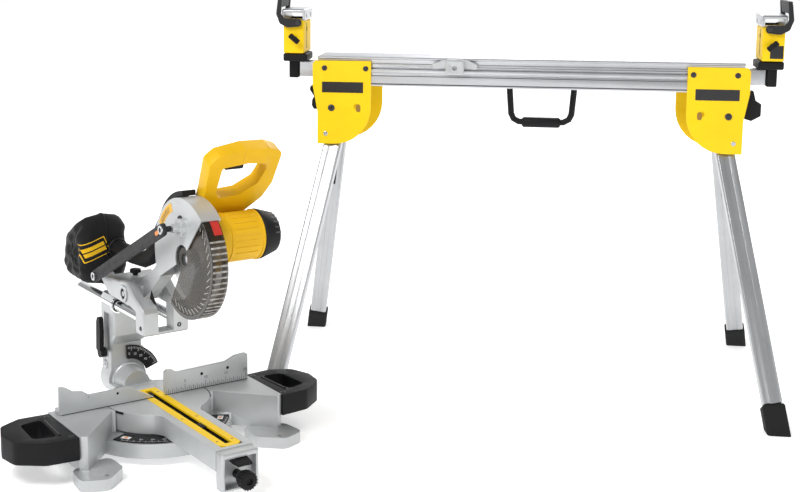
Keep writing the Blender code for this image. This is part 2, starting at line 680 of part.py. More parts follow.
# ------------------------------------------------------------------ sliding carriage
def make_carriage(carriage):
    """Chromed rails and the head bracket clamped to their front ends."""
    for side, side_name in ((-1, "left"), (1, "right")):
        rail = rod((side * RAIL_X, -0.042, RAIL_Z), (side * RAIL_X, 0.322, RAIL_Z), RAIL_R, 24)
        settle(rail, f"slide_rail_{side_name}", carriage, "chrome")

    side_view = [
        (-0.050, 0.246),
        (-0.010, 0.246),
        (-0.010, 0.290),
        (0.016, 0.296),
        (0.122, 0.2985),
        (0.168, 0.328),
        (0.166, 0.344),
        (0.152, 0.350),
        (0.118, 0.342),
        (0.074, 0.342),
        (0.058, 0.346),
        (0.034, 0.346),
        (-0.004, 0.320),
        (-0.044, 0.303),
        (-0.050, 0.294),
    ]
    body = plate(side_view, "YZ", -0.052, 0.052, soft=0.003)
    body = cut(body, box((-0.0300, -0.014, 0.2), (0.0300, 0.0690, 0.4)))
    body = cut(body, box((-0.0178, -0.1, 0.252), (0.0178, 0.0690, 0.4)))
    body = cut(body, box((-0.036, 0.1225, 0.2), (0.1, 0.3, 0.4)))
    for side in (-1, 1):
        bore = rod((side * RAIL_X, -0.0425, RAIL_Z), (side * RAIL_X, 0.1, RAIL_Z), RAIL_R + GAP, 24)
        body = cut(body, bore)
    body = cut(body, rod((-0.1, PIVOT.y, PIVOT.z), (0.1, PIVOT.y, PIVOT.z), 0.0103, 20))
    settle(body, "head_bracket", carriage, "silver")

    turn = empty("hinge_slide_lock", (0.0, 0.098, 0.3423), carriage)
    stem = rod((0, 0.098, 0.3423), (0, 0.098, 0.350), 0.006, 12)
    grip = rod((0, 0.098, 0.3465), (0, 0.098, 0.3555), 0.011, 12, soft=0.0015)
    settle(join(stem, grip), "slide_lock_knob", turn, "black")

    swing = empty("hinge_guard_link", LINK_REAR, carriage)
    along = (LINK_FRONT - LINK_REAR).normalized()
    turn_up = Vector((0, -along.z, along.y))
    half = 0.0125
    corners = [LINK_REAR + turn_up * half, LINK_REAR - turn_up * half]
    corners += [LINK_FRONT - turn_up * half, LINK_FRONT + turn_up * half]
    corners[0] = corners[0] - along * 0.012
    corners[1] = corners[1] - along * 0.012
    corners[2] = corners[2] + along * 0.012
    corners[3] = corners[3] + along * 0.012
    bar = plate(rounded([(c.y, c.z) for c in corners], 0.011, 4), "YZ", -0.0715, -0.0655)
    pins = [rod((-0.074, at.y, at.z), (-0.0523, at.y, at.z), 0.006, 16) for at in (LINK_REAR, LINK_FRONT)]
    settle(join(bar, *pins), "guard_link", swing, "charcoal")


# ------------------------------------------------------------------ head
def guard_point(radius, angle):
    """A point in the blade's plane, angle in degrees from straight ahead (-Y) towards +Z."""
    a = math.radians(angle)
    return (ARBOR.y - radius * math.cos(a), ARBOR.z + radius * math.sin(a))


def sector(outer, inner, first, last, steps):
    """A ring sector about the arbor in the YZ plane."""
    points = [guard_point(outer, first + (last - first) * i / steps) for i in range(steps + 1)]
    points += [guard_point(inner, last + (first - last) * i / steps) for i in range(steps + 1)]
    return points


def make_upper_guard(head):
    """The fixed blade guard with its arm and pivot knuckle, in one casting."""
    shell = plate(sector(GUARD_R, 0.030, 48, 208, 22), "YZ", -0.0250, 0.0180)
    hollow = plate(sector(GUARD_R - 0.003, 0.001, 30, 226, 28), "YZ", -0.0220, 0.0150)
    hub = rod((0.0145, ARBOR.y, ARBOR.z), (0.0176, ARBOR.y, ARBOR.z), 0.034, 28)
    shell = join(cut(shell, hollow), hub)
    arm = [
        (0.041, 0.304),
        (0.059, 0.316),
        (0.057, 0.332),
        (0.031, 0.350),
        (-0.006, 0.370),
        (-0.040, 0.394),
        guard_point(GUARD_R + 0.0005, 190.4),
        guard_point(GUARD_R - 0.0014, 192.5),
        guard_point(GUARD_R - 0.0014, 199.0),
        guard_point(GUARD_R - 0.0014, 206.5),
        (-0.058, 0.372),
        (-0.034, 0.352),
        (0.003, 0.322),
        (0.029, 0.306),
    ]
    web = plate(arm, "YZ", -0.0145, 0.0145)
    knuckle = rod((-0.0297, PIVOT.y, PIVOT.z), (0.0297, PIVOT.y, PIVOT.z), 0.020, 28)
    casting = join(web, knuckle)
    pin = rod((-0.0515, PIVOT.y, PIVOT.z), (0.0515, PIVOT.y, PIVOT.z), 0.0100, 20)
    casting = join(casting, pin)
    casting = join(casting, shell)
    crank = LINK_FRONT
    pad = rod((-0.0340, crank.y, crank.z), (-0.0230, crank.y, crank.z), 0.018, 20)
    post = rod((-0.0500, crank.y, crank.z), (-0.0330, crank.y, crank.z), 0.009, 16)
    casting = join(casting, pad, post)
    casting = cut(casting, rod((0.0, ARBOR.y, ARBOR.z), (0.03, ARBOR.y, ARBOR.z), 0.0105, 20))
    settle(casting, "upper_guard", head, "silver")


def make_lower_guard(head):
    """The retracting guard: left cheek pivoting about the arbor, rim and narrow right cheek."""
    swing = empty("hinge_lower_guard", ARBOR, head)
    outer = GUARD_R - 0.0036
    shape = plate(sector(outer, 0.013, -122, 64, 32), "YZ", -0.0205, 0.0135)
    hollow = plate(sector(outer - 0.0025, 0.001, -140, 84, 34), "YZ", -0.0180, 0.0110)
    shape = cut(shape, hollow)
    cheek_cut = plate(sector(0.098, 0.001, -140, 84, 24), "YZ", 0.0050, 0.0300)
    shape = cut(shape, cheek_cut)
    hub = rod((-0.0205, ARBOR.y, ARBOR.z), (-0.0180, ARBOR.y, ARBOR.z), 0.024, 28)
    shape = join(shape, hub)
    shape = cut(shape, rod((-0.03, ARBOR.y, ARBOR.z), (-0.01, ARBOR.y, ARBOR.z), 0.0125, 24))
    settle(shape, "lower_guard", swing, "smoke")


def make_blade(head):
    """The toothed blade and the arbor with its flanges and bolt head."""
    spin = empty("hinge_blade", ARBOR, head)
    teeth = 40
    outline = []
    for k in range(teeth):
        start = 360.0 * k / teeth
        pitch = 360.0 / teeth
        outline.append(guard_point(BLADE_R, -start))
        outline.append(guard_point(BLADE_R - 0.001, -start - pitch * 0.30))
        outline.append(guard_point(BLADE_R - 0.0065, -start - pitch * 0.80))
    bore = arc((ARBOR.y, ARBOR.z), 0.0083, 0, 345, 23)
    settle(plate(outline, "YZ", -0.0009, 0.0009, holes=[bore]), "blade", spin, "steel")

    def disc(x0, x1, radius, sides=24):
        return rod((x0, ARBOR.y, ARBOR.z), (x1, ARBOR.y, ARBOR.z), radius, sides)

    shaft = disc(-0.010, 0.0176, 0.0080)
    flanges = [disc(-0.0040, -0.0012, 0.021), disc(0.0012, 0.0040, 0.021)]
    bolt = disc(-0.0155, -0.0040, 0.0090, 6)
    settle(join(shaft, bolt, *flanges), "arbor", spin, "steel")


def make_motor(head):
    """Gearbox and motor housing with the handle's mounting pad, its end cap and the battery."""
    def disc(centre, x0, x1, radius, sides=32, end_radius=None, soft=0.0):
        start = (x0, centre.y, centre.z)
        return rod(start, (x1, centre.y, centre.z), radius, sides, end_radius, soft)

    body = disc(ARBOR, 0.0183, 0.048, 0.036, 28)
    body = join(body, disc(MOTOR, 0.0183, 0.126, MOTOR_R, 36))
    pad = [(-0.205, 0.505), (-0.1700, 0.5120), (-0.1420, 0.5257), (-0.156, 0.485)]
    body = join(body, plate(pad, "YZ", 0.060, 0.120))
    shelf = box((0.040, -0.166, 0.424), (0.110, -0.1485, 0.500), 0.002)
    body = join(body, shelf)
    settle(body, "motor_housing", head, "yellow")

    cap = disc(MOTOR, 0.1263, 0.168, MOTOR_R + 0.003, 32, MOTOR_R - 0.010, 0.003)
    settle(cap, "motor_cap", head, "black")

    slide = empty("slide_battery", (0.086, -0.148, 0.455), head)
    pack = box((0.050, -0.1480, 0.412), (0.122, -0.082, 0.500), 0.006)
    settle(pack, "battery", slide, "charcoal")


def handle_matrix():
    """From the handle's own plane (x across, y up its legs, z out of its front) to saw coordinates."""
    across = Vector((1, 0, 0))
    up = Vector((0, -math.sin(HANDLE_TILT), math.cos(HANDLE_TILT)))
    out = across.cross(up)
    turn = Matrix((across, up, out)).transposed().to_4x4()
    return Matrix.Translation(HANDLE_AT) @ turn


def make_handle(head):
    """The transverse D-handle and its trigger."""
    outer = [(0.0155, -0.048), (0.0155, -0.010), (0.012, 0.058), (0.030, 0.076), (0.085, 0.087)]
    outer += [(0.140, 0.086), (0.172, 0.074), (0.166, 0.000), (0.150, -0.034), (0.112, HANDLE_LOW)]
    outer += [(0.070, HANDLE_LOW), (0.034, -0.062)]
    hole = [(0.042, 0.046), (0.100, 0.053), (0.140, 0.048), (0.145, 0.036), (0.132, 0.002), (0.095, -0.022)]
    hole += [(0.050, -0.026), (0.040, -0.010)]
    place = handle_matrix()
    depth = HANDLE_T
    body = plate(rounded(outer, 0.012, 2), "XY", -depth, 0.0, holes=[rounded(hole, 0.008, 2)], soft=0.005)
    low = Vector((0.054, 0.034, -depth / 2 - 0.007))
    high = Vector((0.096, 0.0545, -depth / 2 + 0.007))
    clearance = Vector((0.0005, TRIGGER_TRAVEL + 0.001, 0.0005))
    body = cut(body, box(low - clearance, high + clearance))
    body.data.transform(place)
    settle(body, "main_handle", head, "yellow")

    slide = empty("slide_trigger", place @ ((low + high) / 2), head)
    trigger = box(low, high, 0.002)
    trigger.data.transform(place)
    settle(trigger, "trigger", slide, "black")


def make_dust_parts(head):
    """The dust duct from the rear of the guard and the cloth bag on its end."""
    route = [(-0.085, 0.505), (-0.052, 0.478), (-0.028, 0.448), (-0.010, 0.420), (0.014, 0.400)]
    route += [(0.050, 0.386), (0.095, 0.383), (0.140, 0.384), (0.1897, 0.384)]
    duct = bent([(0.0, y, z) for y, z in route], 0.0185)
    duct = cut(duct, rod((-0.1, ARBOR.y, ARBOR.z), (0.1, ARBOR.y, ARBOR.z), GUARD_R + 0.0008, 64))
    shroud = plate(sector(GUARD_R + 0.0125, GUARD_R + 0.0015, 96, 144, 10), "YZ", -0.016, 0.014)
    settle(join(duct, shroud), "dust_duct", head, "black")

    side_view = [(0.190, 0.322), (0.190, 0.430), (0.212, 0.462), (0.256, 0.452), (0.320, 0.410)]
    side_view += [(0.332, 0.318), (0.290, 0.297), (0.224, 0.297)]
    bag = plate(rounded(side_view, 0.02), "YZ", -0.084, 0.036, soft=0.010)
    settle(bag, "dust_bag", head, "cloth")


def make_saw():
    """The whole saw, on nested joint empties."""
    saw = empty("saw", STAND_AT + SAW_FROM_STAND, yaw=SAW_YAW)
    make_base(saw)
    make_side_handles(saw)
    make_mitre_scale(saw)
    make_fences(saw)
    table = empty("hinge_mitre", (0, 0, TABLE_Z), saw)
    make_turntable(table)
    make_kerf_plate(table)
    make_mitre_controls(table)
    bevel = empty("hinge_bevel", (0, TRUNNION_Y, TABLE_Z), table)
    make_column(bevel)
    carriage = empty("slide_carriage", (0, TRUNNION_Y, RAIL_Z), bevel)
    make_carriage(carriage)
    head = empty("hinge_head", PIVOT, carriage)
    make_upper_guard(head)
    make_lower_guard(head)
    make_blade(head)
    make_motor(head)
    make_handle(head)
    make_dust_parts(head)


clear_scene()
PARTS = bpy.data.collections.new("mitre_saw_on_stand")
bpy.context.scene.collection.children.link(PARTS)
make_stand()
make_saw()
bpy.context.view_layer.update()
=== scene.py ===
"""Sliding compound mitre saw set down beside its folding leg stand: the fine surfaces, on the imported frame."""

import json
import math

import bmesh
import bpy
from mathutils import Matrix, Vector

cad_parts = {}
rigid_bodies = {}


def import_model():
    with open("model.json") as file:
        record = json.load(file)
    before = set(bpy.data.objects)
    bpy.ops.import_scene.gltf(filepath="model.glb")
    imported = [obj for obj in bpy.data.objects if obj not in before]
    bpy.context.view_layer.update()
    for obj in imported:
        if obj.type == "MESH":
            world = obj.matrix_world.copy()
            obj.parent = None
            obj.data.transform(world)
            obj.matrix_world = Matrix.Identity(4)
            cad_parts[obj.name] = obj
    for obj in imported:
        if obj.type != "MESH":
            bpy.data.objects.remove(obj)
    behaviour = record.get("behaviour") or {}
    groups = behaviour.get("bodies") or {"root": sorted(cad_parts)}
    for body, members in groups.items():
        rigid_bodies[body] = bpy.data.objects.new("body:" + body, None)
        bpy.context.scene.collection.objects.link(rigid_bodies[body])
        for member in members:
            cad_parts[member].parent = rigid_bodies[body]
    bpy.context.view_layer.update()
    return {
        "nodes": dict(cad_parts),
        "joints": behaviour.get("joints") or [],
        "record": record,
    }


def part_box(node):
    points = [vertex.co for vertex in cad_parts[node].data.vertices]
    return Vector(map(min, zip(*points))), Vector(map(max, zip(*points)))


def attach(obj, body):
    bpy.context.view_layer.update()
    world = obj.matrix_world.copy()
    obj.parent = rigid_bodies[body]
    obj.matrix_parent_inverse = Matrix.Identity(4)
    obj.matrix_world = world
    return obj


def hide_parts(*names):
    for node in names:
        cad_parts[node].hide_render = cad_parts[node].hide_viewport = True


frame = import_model()
NODES = frame["nodes"]
BODY_OF = {n: b for b, names in frame["record"]["behaviour"]["bodies"].items() for n in names}
SLOT_OF = {s["node"]: s["material_slot"] for s in frame["record"]["subparts"]}
JOINTS = {j["name"]: j for j in frame["joints"]}

# ------------------------------------------------------------------ frames
BEAM_LOW, BEAM_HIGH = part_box("beam")
STAND_AT = Vector(((BEAM_LOW.x + BEAM_HIGH.x) / 2, (BEAM_LOW.y + BEAM_HIGH.y) / 2, 0.0))
SAW_AT = Vector((*JOINTS["mitre"]["pos_m"][:2], 0.0))
FENCE_DIRECTION = Vector(JOINTS["chop"]["axis"])
STAND = Matrix.Translation(STAND_AT)
SAW = Matrix.Translation(SAW_AT) @ Matrix.Rotation(math.atan2(FENCE_DIRECTION.y, FENCE_DIRECTION.x), 4, "Z")


def family(node):
    """The local frame a node is modelled in: the saw's for everything that rides on the saw."""
    body = BODY_OF[node]
    while body not in ("stand", "saw"):
        body = next(j["parent"] for j in frame["joints"] if j["child"] == body)
    return SAW if body == "saw" else STAND


# ------------------------------------------------------------------ dimensions in metres, local frames
BRACKET_FACE = 0.0643
BEAM_FACE = 0.0600
TABLE_TOP = 0.094
SCALE_TOP = 0.0505
SIDE_SCREW_Z = 0.0929
RAIL_Z = 0.272
PIVOT = Vector((-0.0520, 0.045, 0.319))
LINK_FACE = -0.0715
LINK_REAR = Vector((0.0, 0.155, 0.336))
LINK_FRONT = Vector((0.0, -0.183, 0.501))
ARBOR_Y, ARBOR_Z = -0.178, 0.434
MOTOR = Vector((0.0, -0.200, 0.473))
CAP_SLOPE = 0.302
HANDLE_AT = Vector((0.004, -0.198, 0.575))
HANDLE_TILT = math.radians(26.0)
GUARD_FACE = -0.0248
CHEEK_FACE = -0.0203
BAG_MIDDLE = -0.024
BAG_HALF_DEPTH = 0.0545
BAG_CENTRE = Vector((0.256, 0.372, 0.0))
NECK_Z = 0.384
LABEL_TILT = math.radians(22.0)
LABEL_MIDDLE = (0.0956, 0.3755)
LABEL_HALF = (0.0310, 0.0200)
UPRIGHT = Matrix.Rotation(math.radians(90), 4, "X")


# ------------------------------------------------------------------ materials
class Graph:
    """A material's node tree, built by short calls."""

    def __init__(self, name):
        self.material = bpy.data.materials.new(name)
        self.material.use_nodes = True
        self.nodes = self.material.node_tree.nodes
        self.shader = self.nodes["Principled BSDF"]
        self.output = self.nodes["Material Output"]

    def add(self, kind, inputs=None, **settings):
        """A node with its settings and sockets filled in; a socket value may be another socket."""
        node = self.nodes.new(kind)
        for key, value in settings.items():
            setattr(node, key, value)
        for key, value in (inputs or {}).items():
            self.feed(node.inputs[key], value)
        return node

    def feed(self, socket, value):
        """Link a socket to an output, or give it a constant."""
        if isinstance(value, bpy.types.NodeSocket):
            self.material.node_tree.links.new(value, socket)
        else:
            socket.default_value = value

    def surface(self, inputs):
        """Fill the shader's sockets by name."""
        for key, value in inputs.items():
            self.feed(self.shader.inputs[key], value)

    def place(self, stretch=(1.0, 1.0, 1.0), turn=(0.0, 0.0, 0.0)):
        """Object coordinates, scaled and turned."""
        coords = self.add("ShaderNodeTexCoord")
        inputs = {"Vector": coords.outputs["Object"], "Scale": stretch, "Rotation": turn}
        return self.add("ShaderNodeMapping", inputs).outputs["Vector"]

    def noise(self, scale, vector, detail=4.0, rough=0.55):
        """Noise, 0 to 1."""
        inputs = {"Vector": vector, "Scale": scale, "Detail": detail, "Roughness": rough}
        return self.add("ShaderNodeTexNoise", inputs).outputs["Fac"]

    def spread(self, value, low, high, start=0.3, end=0.7):
        """A value between start and end mapped to low and high."""
        inputs = {"Value": value, "From Min": start, "From Max": end, "To Min": low, "To Max": high}
        return self.add("ShaderNodeMapRange", inputs).outputs["Result"]

    def tint(self, factor, a, b):
        """A colour between two others."""
        node = self.add("ShaderNodeMix", data_type="RGBA")
        colours = [s for s in node.inputs if s.type == "RGBA"]
        self.feed(node.inputs[0], factor)
        for socket, colour in zip(colours, (a, b)):
            self.feed(socket, colour if isinstance(colour, bpy.types.NodeSocket) else (*colour, 1.0))
        return next(s for s in node.outputs if s.type == "RGBA")

    def mottle(self, cloud, a, b):
        """The base colour drifting between two with a noise."""
        self.surface({"Base Color": self.tint(self.spread(cloud, 0.0, 1.0), a, b)})

    def bump(self, height, strength, distance):
        """Feed a height to the shader's normal."""
        inputs = {"Height": height, "Strength": strength, "Distance": distance}
        self.feed(self.shader.inputs["Normal"], self.add("ShaderNodeBump", inputs).outputs["Normal"])


def scaled(colour, factor):
    """A colour multiplied and clipped."""
    return tuple(min(1.0, c * factor) for c in colour)


def metal(name, colour, rough, stretch=(1.0, 1.0, 1.0), grain=900.0, depth=0.00002, metallic=1.0):
    """Bare or satin metal: directional grain in its roughness and height, a soft cloud in its colour."""
    g = Graph(name)
    fine = g.noise(grain, g.place(stretch))
    cloud = g.noise(9.0, g.place(), 3.0)
    g.mottle(cloud, scaled(colour, 0.93), scaled(colour, 1.05))
    g.surface({"Roughness": g.spread(fine, rough * 0.82, rough * 1.2), "Metallic": metallic})
    g.bump(fine, 0.35, depth)
    return g.material


def paint(name, colour, rough, orange=380.0, depth=0.00006, coat=0.25, worn=0.35):
    """Powder coat or coloured moulding: orange-peel height, dust in its roughness, edges rubbed lighter."""
    g = Graph(name)
    peel = g.noise(orange, g.place(), 2.0)
    cloud = g.noise(14.0, g.place(), 4.0)
    scuff = g.noise(60.0, g.place(), 6.0, 0.7)
    edge = g.add("ShaderNodeNewGeometry").outputs["Pointiness"]
    rubbed = g.spread(edge, 0.0, worn, 0.52, 0.62)
    base = g.tint(g.spread(cloud, 0.0, 1.0), scaled(colour, 0.95), scaled(colour, 1.04))
    pale = tuple(0.85 * c + 0.05 for c in colour)
    g.surface({"Base Color": g.tint(rubbed, base, pale)})
    g.surface({"Roughness": g.spread(scuff, rough * 0.85, rough * 1.25)})
    g.surface({"Coat Weight": coat, "Coat Roughness": 0.25, "Specular IOR Level": 0.22})
    g.bump(peel, 0.4, depth)
    return g.material


def moulding(name, colour, rough, grain=1400.0, depth=0.00005):
    """Black plastic or rubber: spark-eroded grain, a greyer bloom on its edges."""
    g = Graph(name)
    fine = g.add("ShaderNodeTexVoronoi", {"Vector": g.place(), "Scale": grain}).outputs["Distance"]
    cloud = g.noise(22.0, g.place(), 4.0)
    edge = g.spread(g.add("ShaderNodeNewGeometry").outputs["Pointiness"], 0.0, 0.5, 0.52, 0.64)
    base = g.tint(g.spread(cloud, 0.0, 1.0), scaled(colour, 0.8), scaled(colour, 1.35))
    g.surface({"Base Color": g.tint(edge, base, (0.025, 0.025, 0.027))})
    g.surface({"Roughness": g.spread(cloud, rough * 0.9, rough * 1.1), "Specular IOR Level": 0.2})
    g.bump(fine, 0.3, depth)
    return g.material


def printed_frame(g):
    """A mask of a tilted rectangular frame with two plain bars in it, on the front of the bag."""
    parts = g.add("ShaderNodeSeparateXYZ", {"Vector": g.place(turn=(0.0, LABEL_TILT, 0.0))})

    def math_node(operation, a, b=0.0):
        return g.add("ShaderNodeMath", {0: a, 1: b}, operation=operation).outputs[0]

    def inside(socket, middle, half):
        return math_node("LESS_THAN", math_node("ABSOLUTE", math_node("SUBTRACT", socket, middle)), half)

    def panel(inset_along, inset_up):
        along = inside(parts.outputs["X"], LABEL_MIDDLE[0], LABEL_HALF[0] - inset_along)
        up = inside(parts.outputs["Z"], LABEL_MIDDLE[1], LABEL_HALF[1] - inset_up)
        return math_node("MULTIPLY", along, up)

    border = math_node("SUBTRACT", panel(0.0, 0.0), panel(0.0020, 0.0020))
    bars = math_node("SUBTRACT", panel(0.0060, 0.0100), panel(0.0060, 0.0185))
    front = g.add("ShaderNodeSeparateXYZ", {"Vector": g.place()}).outputs["Y"]
    return math_node("MULTIPLY", math_node("MAXIMUM", border, bars), math_node("LESS_THAN", front, 0.225))


def woven(name, colour):
    """Coated nylon: two crossed thread directions, a soft sheen."""
    g = Graph(name)
    coords = g.place()
    warp = g.add("ShaderNodeTexWave", {"Vector": coords, "Scale": 260.0}, bands_direction="Y").outputs["Fac"]
    weft = g.add("ShaderNodeTexWave", {"Vector": coords, "Scale": 260.0}, bands_direction="Z").outputs["Fac"]
    threads = g.add("ShaderNodeMath", operation="MULTIPLY")
    g.feed(threads.inputs[0], warp)
    g.feed(threads.inputs[1], weft)
    cloud = g.noise(30.0, coords, 5.0)
    cloth = g.tint(g.spread(cloud, 0.0, 1.0), scaled(colour, 0.7), scaled(colour, 1.5))
    g.surface({"Base Color": g.tint(printed_frame(g), cloth, (0.80, 0.47, 0.01))})
    g.surface({"Roughness": g.spread(threads.outputs[0], 0.72, 0.92, 0.0, 1.0)})
    g.surface({"Sheen Weight": 0.12, "Sheen Roughness": 0.5, "Specular IOR Level": 0.2})
    g.bump(threads.outputs[0], 0.35, 0.00025)
    return g.material


def smoked(name):
    """Smoked clear plastic: dark, partly see-through, with amber in its depth."""
    g = Graph(name)
    cloud = g.noise(18.0, g.place(), 3.0)
    g.mottle(cloud, (0.010, 0.008, 0.006), (0.055, 0.038, 0.020))
    g.surface({"Roughness": g.spread(cloud, 0.05, 0.16), "Alpha": g.spread(cloud, 0.60, 0.74)})
    g.surface({"Specular IOR Level": 0.3, "Coat Weight": 0.1})
    g.bump(cloud, 0.1, 0.0004)
    return g.material


def clear_rib(name):
    """Clear plastic ribs catching the light: pale, glossy and half see-through."""
    g = Graph(name)
    cloud = g.noise(90.0, g.place(), 3.0)
    g.mottle(cloud, (0.22, 0.19, 0.15), (0.62, 0.61, 0.58))
    g.surface({"Roughness": g.spread(cloud, 0.08, 0.22), "Alpha": 0.8})
    g.bump(cloud, 0.1, 0.0002)
    return g.material


def flat_print(name, colour, rough=0.5):
    """Printed or moulded marks, a little uneven; also the flat colours that paint shade into holes, slots, gaps
    and grooves.
    """
    g = Graph(name)
    cloud = g.noise(160.0, g.place(), 3.0)
    g.mottle(cloud, scaled(colour, 0.9), scaled(colour, 1.06))
    g.surface({"Roughness": g.spread(cloud, rough * 0.85, rough * 1.15)})
    g.bump(cloud, 0.15, 0.00003)
    return g.material


def blade_steel(name):
    """Ground steel: fine rings about the arbor."""
    g = Graph(name)
    coords = g.place()
    inputs = {"Vector": coords, "Scale": 220.0, "Distortion": 1.5}
    wave = g.add("ShaderNodeTexWave", inputs, wave_type="RINGS", rings_direction="X")
    rings = wave.outputs["Fac"]
    g.mottle(g.noise(26.0, coords, 4.0), (0.50, 0.50, 0.51), (0.66, 0.66, 0.67))
    g.surface({"Roughness": g.spread(rings, 0.18, 0.34, 0.0, 1.0), "Metallic": 1.0})
    g.bump(rings, 0.2, 0.00002)
    return g.material


LOOKS = {
    "brushed_aluminium": metal("brushed_aluminium", (0.60, 0.61, 0.63), 0.34, (0.04, 1.0, 1.0), 1500.0),
    "leg_aluminium": metal("leg_aluminium", (0.53, 0.54, 0.555), 0.36, (1.0, 1.0, 0.04), 1500.0),
    "cast_aluminium": metal("cast_aluminium", (0.55, 0.565, 0.57), 0.40, (1, 1, 1), 520.0, 0.00010, 0.50),
    "chrome": metal("chrome", (0.80, 0.81, 0.82), 0.10, (1.0, 0.05, 1.0), 1200.0, 0.000004),
    "yellow_paint": paint("yellow_paint", (0.95, 0.62, 0.001), 0.46, coat=0.05),
    "yellow_dark": paint("yellow_dark", (0.62, 0.36, 0.01), 0.42),
    "yellow_plastic": paint("yellow_plastic", (0.80, 0.46, 0.003), 0.42, 700.0, 0.00003, 0.06),
    "black_plastic": moulding("black_plastic", (0.006, 0.006, 0.007), 0.52),
    "gloss_black": moulding("gloss_black", (0.012, 0.012, 0.013), 0.22, 500.0, 0.00001),
    "charcoal": paint("charcoal", (0.020, 0.020, 0.022), 0.52, 500.0, 0.00004, 0.05, 0.15),
    "rubber": moulding("rubber", (0.014, 0.014, 0.014), 0.78, 700.0, 0.00012),
    "tool_steel": blade_steel("tool_steel"),
    "screw_steel": metal("screw_steel", (0.58, 0.585, 0.60), 0.28, (1, 1, 1), 800.0),
    "dark_screw": metal("dark_screw", (0.06, 0.06, 0.065), 0.35, (1, 1, 1), 800.0, 0.00001, 0.8),
    "smoked_plastic": smoked("smoked_plastic"),
    "dust_cloth": woven("dust_cloth", (0.006, 0.006, 0.007)),
    "label": flat_print("label", (0.012, 0.012, 0.013), 0.3),
    "white_print": flat_print("white_print", (0.82, 0.82, 0.80)),
    "black_print": flat_print("black_print", (0.02, 0.02, 0.02)),
    "red_print": flat_print("red_print", (0.55, 0.03, 0.02), 0.35),
    "orange_print": flat_print("orange_print", (0.85, 0.25, 0.02), 0.35),
    # Flat black for painted shade in holes, slots, gaps and under the fences; brown for painted shade in the
    # bracket slots; grey for the fence's print and also for painted shade in the beam's grooves and the motor's
    # vents.
    "painted_shade_black": flat_print("painted_shade_black", (0.01, 0.01, 0.01), 0.9),
    "painted_shade_brown": flat_print("painted_shade_brown", (0.30, 0.16, 0.02), 0.5),
    "grey_print_and_shade": flat_print("grey_print_and_shade", (0.075, 0.075, 0.080), 0.5),
    "guard_print": flat_print("guard_print", (0.50, 0.49, 0.46), 0.4),
    "orange_yellow": flat_print("orange_yellow", (0.85, 0.45, 0.02), 0.4),
    "clear_rib": clear_rib("clear_rib"),
    "smoke_edge": flat_print("smoke_edge", (0.045, 0.040, 0.035), 0.18),
}


# ------------------------------------------------------------------ pieces
def place(obj, name, body, look, matrix, node=None):
    """Name a made mesh object, give it its look, ride it on a body, and let it stand for a CAD node."""
    obj.name = name
    obj.data.name = name
    obj.matrix_world = matrix
    obj.data.materials.clear()
    obj.data.materials.append(LOOKS[look])
    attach(obj, body)
    if node:
        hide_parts(node)
    return obj


def refine(node, width, look=None, segments=2, angle=28.0):
    """A CAD node's own shape in its family frame, its edges rounded, standing for the node."""
    matrix = family(node)
    mesh = NODES[node].data.copy()
    mesh.transform(matrix.inverted())
    obj = bpy.data.objects.new(node + "_fine", mesh)
    bpy.context.scene.collection.objects.link(obj)
    edit = bmesh.new()
    edit.from_mesh(mesh)
    bmesh.ops.remove_doubles(edit, verts=edit.verts, dist=0.00002)
    bmesh.ops.dissolve_limit(edit, angle_limit=math.radians(1.0), verts=edit.verts, edges=edit.edges)
    edit.to_mesh(mesh)
    edit.free()
    bevel = obj.modifiers.new("edges", "BEVEL")
    bevel.width = width
    bevel.segments = segments
    bevel.limit_method = "ANGLE"
    bevel.angle_limit = math.radians(angle)
    bevel.harden_normals = True
    bevel.use_clamp_overlap = True
    bevel.miter_outer = "MITER_ARC"
    mesh.shade_smooth()
    mesh.set_sharp_from_angle(angle=math.radians(50))
    return place(obj, node + "_fine", BODY_OF[node], look or SLOT_OF[node], matrix, node)


